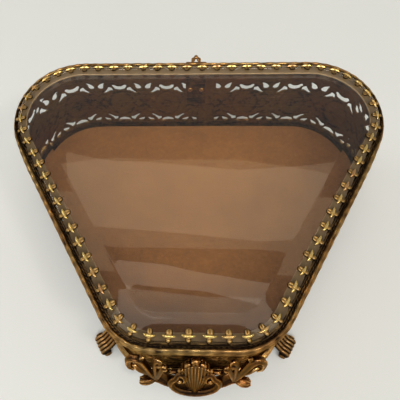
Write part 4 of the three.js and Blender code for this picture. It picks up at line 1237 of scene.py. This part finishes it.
# ---------------------------------------------------------------- glass
# A thick sheet of clear plate glass, cut to the lid's plan, with a wide polished bevel ground all round
# and its sharp edges taken off. It lies on the ledge, and the florets hold it down.
GLASS_INSET = 3.7
GLASS_BOTTOM, GLASS_TOP = (corner.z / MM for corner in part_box("glass_plate"))
BEVEL_WIDTH = 8.5
BEVEL_RISE = 1.2
GLASS_TINT = rgba(0.93, 0.95, 0.93)

plate_glass = Finish("plate_glass")
clear = plate_glass.surface(Base_Color=GLASS_TINT, Roughness=0.015, IOR=1.5, Transmission_Weight=1.0)
lamps_pass = plate_glass.node("BsdfTransparent", {}, {"Color": GLASS_TINT})
lamp_ray = plate_glass.node("LightPath", output="Is Shadow Ray")
clear_glass = plate_glass.done(plate_glass.node("MixShader", {}, {0: lamp_ray, 1: clear, 2: lamps_pass}))
edge_top = GLASS_TOP - BEVEL_RISE
points, faces = layered([
    (GLASS_INSET + 0.25, GLASS_BOTTOM), (GLASS_INSET + 0.07, GLASS_BOTTOM + 0.07),
    (GLASS_INSET, GLASS_BOTTOM + 0.25), (GLASS_INSET, edge_top - 0.25), (GLASS_INSET + 0.06, edge_top - 0.08),
    (GLASS_INSET + 0.25, edge_top + 0.02), (GLASS_INSET + BEVEL_WIDTH - 0.12, GLASS_TOP - 0.012),
    (GLASS_INSET + BEVEL_WIDTH + 0.1, GLASS_TOP)])
piece("bevelled_glass", "lid", clear_glass, points, faces, ["glass_plate"], sharp=4)

# ---------------------------------------------------------------- gallery strip
# Thin bright gilt brass strip with a row of florets, set in the gap between glass and frame. Each floret's
# stem is bent in over the bevel by hand, so no two lie quite alike, and a few are rubbed to copper.
STRIP_INSET = 3.0
STRIP_SHEET = 0.4
STRIP_TOP = LEDGE_TOP + 1.8
FLORETS = 68
FLORET_SHEET = 0.3
FLORET_STEP = 0.17
FLORET_SHIFT = 0.62
BEND_ROUND = 0.55
STEM_BOTTOM = -2.6
bevel_slope = math.atan2(BEVEL_RISE, BEVEL_WIDTH)
fold = quarter - bevel_slope
fold_level = edge_top + 0.22 - BEND_ROUND * 0.4


def floret_shape(a, b):
    """Distance outside one floret laid flat, with a along the strip and b up from the fold."""
    bud = np.minimum(stroke(np.abs(a), b, (0.5, 2.9, 0.66), (0.46, 3.55, 0.62), (0.1, 4.15, 0.25)),
                     stroke(a, b, (0, 2.6, 0.7), (0, 3.4, 0.8)))
    arms = stroke(np.abs(a), b, (0.0, 1.85, 0.72), (1.0, 1.9, 0.58), (1.75, 2.1, 0.36), (2.2, 2.36, 0.12))
    knee = stroke(a, b, (0, 1.5, 0.8), (0, 0.7, 0.86), (0, 0.1, 0.55), (0, STEM_BOTTOM, 0.5))
    return np.minimum(np.minimum(bud, arms), knee)


def floret_crown(a, b):
    """Height of the pressed floret's face over its flat edge."""
    inside = np.clip(-floret_shape(a, b), 0, 1)
    pillow = 0.42 * (1 - np.exp(-inside / 0.28))
    arm_ridge = 0.3 * np.clip(1 - np.abs(b - 1.95) / 0.6, 0, 1) * np.clip(1.9 - np.abs(a) / 1.3, 0, 1)
    vein = 0.22 * ridge(a, 0.16) * ((b > 2.7) & (b < 4.0))
    neck = 0.15 * ridge(b - 2.55, 0.16) + 0.15 * ridge(b - 1.3, 0.18)
    return np.maximum(pillow + arm_ridge - vein - neck, 0.03)


strip_length = round_length(STRIP_INSET)
a_net, b_net = np.meshgrid(np.arange(-2.55, 2.56, FLORET_STEP), np.arange(STEM_BOTTOM, 4.5, FLORET_STEP),
                           indexing="ij")
a_cut, b_cut, quads = cut_net(a_net, b_net, lambda a, b: -floret_shape(a, b), False)
crown = floret_crown(a_cut, b_cut)
# The florets' colour follows their pressed face, with a painted highlight along the fold at the arms and
# painted shade down the foot that stands in the gap.
face_relief_and_painted_light = (0.05 + 1.1 * crown - 0.4 * np.clip((0.7 - b_cut) / 1.5, 0, 1)
               + 0.6 * ridge(b_cut - 1.95, 0.45))
floret_relief_and_painted_light = np.concatenate([np.clip(face_relief_and_painted_light, 0, 1), 0 * crown])
up = np.clip(b_cut / 2, 0, 1)
strip_points = []
strip_faces = []
strip_relief_and_painted_light = []
strip_tone = []
count = 0


def folded(a, b, face_height, spring):
    """One face of a floret, bent in over the bevel with its foot standing upright in the gap."""
    bend = np.clip(b / BEND_ROUND, 0, fold)
    beyond = np.maximum(b - BEND_ROUND * fold, 0)
    reach = BEND_ROUND * (1 - np.cos(bend)) + beyond * math.cos(bevel_slope)
    climb = np.minimum(b, 0) + BEND_ROUND * np.sin(bend) + beyond * math.sin(bevel_slope) + spring
    inset = STRIP_INSET + 0.3 + reach - face_height * np.cos(bend)
    level = fold_level + climb + face_height * np.sin(bend)
    point, out = plan(a % strip_length, STRIP_INSET)
    return np.concatenate([point - inset[:, None] * out, level[:, None]], 1)


shake = np.random.default_rng(7)
for n in range(FLORETS):
    turn = shake.normal(0, 0.07)
    slide = shake.normal(0, 0.12)
    size = shake.normal(1, 0.035)
    lift = shake.uniform(0.0, 0.16)
    lean = shake.normal(0, 0.05)
    tone = shake.uniform(0, 1) ** 2
    a = (a_cut * np.cos(turn * up) + (b_cut - 1) * np.sin(turn * up)) * size + slide * up
    a = a + (n + FLORET_SHIFT) * strip_length / FLORETS
    b = np.where(b_cut > 0, b_cut * size - a_cut * np.sin(turn) * up, b_cut)
    spring = (lift + lean * a_cut) * np.clip((b_cut - 1.2) / 3, 0, 1)
    points, faces, used = thickened(folded(a, b, crown, spring), folded(a, b, -FLORET_SHEET, spring), quads)
    strip_points.append(points[used])
    strip_faces.append(faces + count)
    strip_relief_and_painted_light.append(floret_relief_and_painted_light[used])
    strip_tone.append(np.full(len(used), tone))
    count += len(used)
band = [(STRIP_INSET, LEDGE_TOP), (STRIP_INSET, STRIP_TOP), (STRIP_INSET + STRIP_SHEET, STRIP_TOP),
        (STRIP_INSET + STRIP_SHEET, LEDGE_TOP)]
points, faces, along, raised = moulded(band)
strip_points.append(points)
strip_faces.append(faces + count)
# The plain band in the gap is painted dark, as painted shade.
strip_relief_and_painted_light.append(np.full(len(points), 0.2))
strip_tone.append(np.full(len(points), 0.2))

strip_gilt = Finish("bright_gilt")
place = strip_gilt.place()
speck = strip_gilt.noise(place, 1400.0, 2.0)
high = strip_gilt.mark("relief") + (strip_gilt.noise(place, 300.0, 2.0) - 0.5) * 0.5
copper = strip_gilt.mark("tone").between(0.35, 0.95)
yellow = strip_gilt.mix(copper, rgba(0.86, 0.60, 0.20), rgba(0.62, 0.33, 0.14))
leaf_metal = strip_gilt.mix(high.between(0.45, 0.85), rgba(0.34, 0.20, 0.065), yellow)
bright_gilt = strip_gilt.done(strip_gilt.surface(
    Base_Color=strip_gilt.mix(high.between(0.12, 0.42), rgba(0.022, 0.013, 0.008), leaf_metal), Metallic=0.96,
    Roughness=0.42 - 0.2 * high.between(0.4, 0.9) + (speck - 0.5) * 0.1,
    Normal=strip_gilt.bump(speck, 0.00004, 0.5)))
piece("floret_strip", "lid", bright_gilt, np.concatenate(strip_points),
      [face for group in strip_faces for face in group], ["gallery_strip"], sharp=75,
      marks={"relief": np.concatenate(strip_relief_and_painted_light), "tone": np.concatenate(strip_tone)})
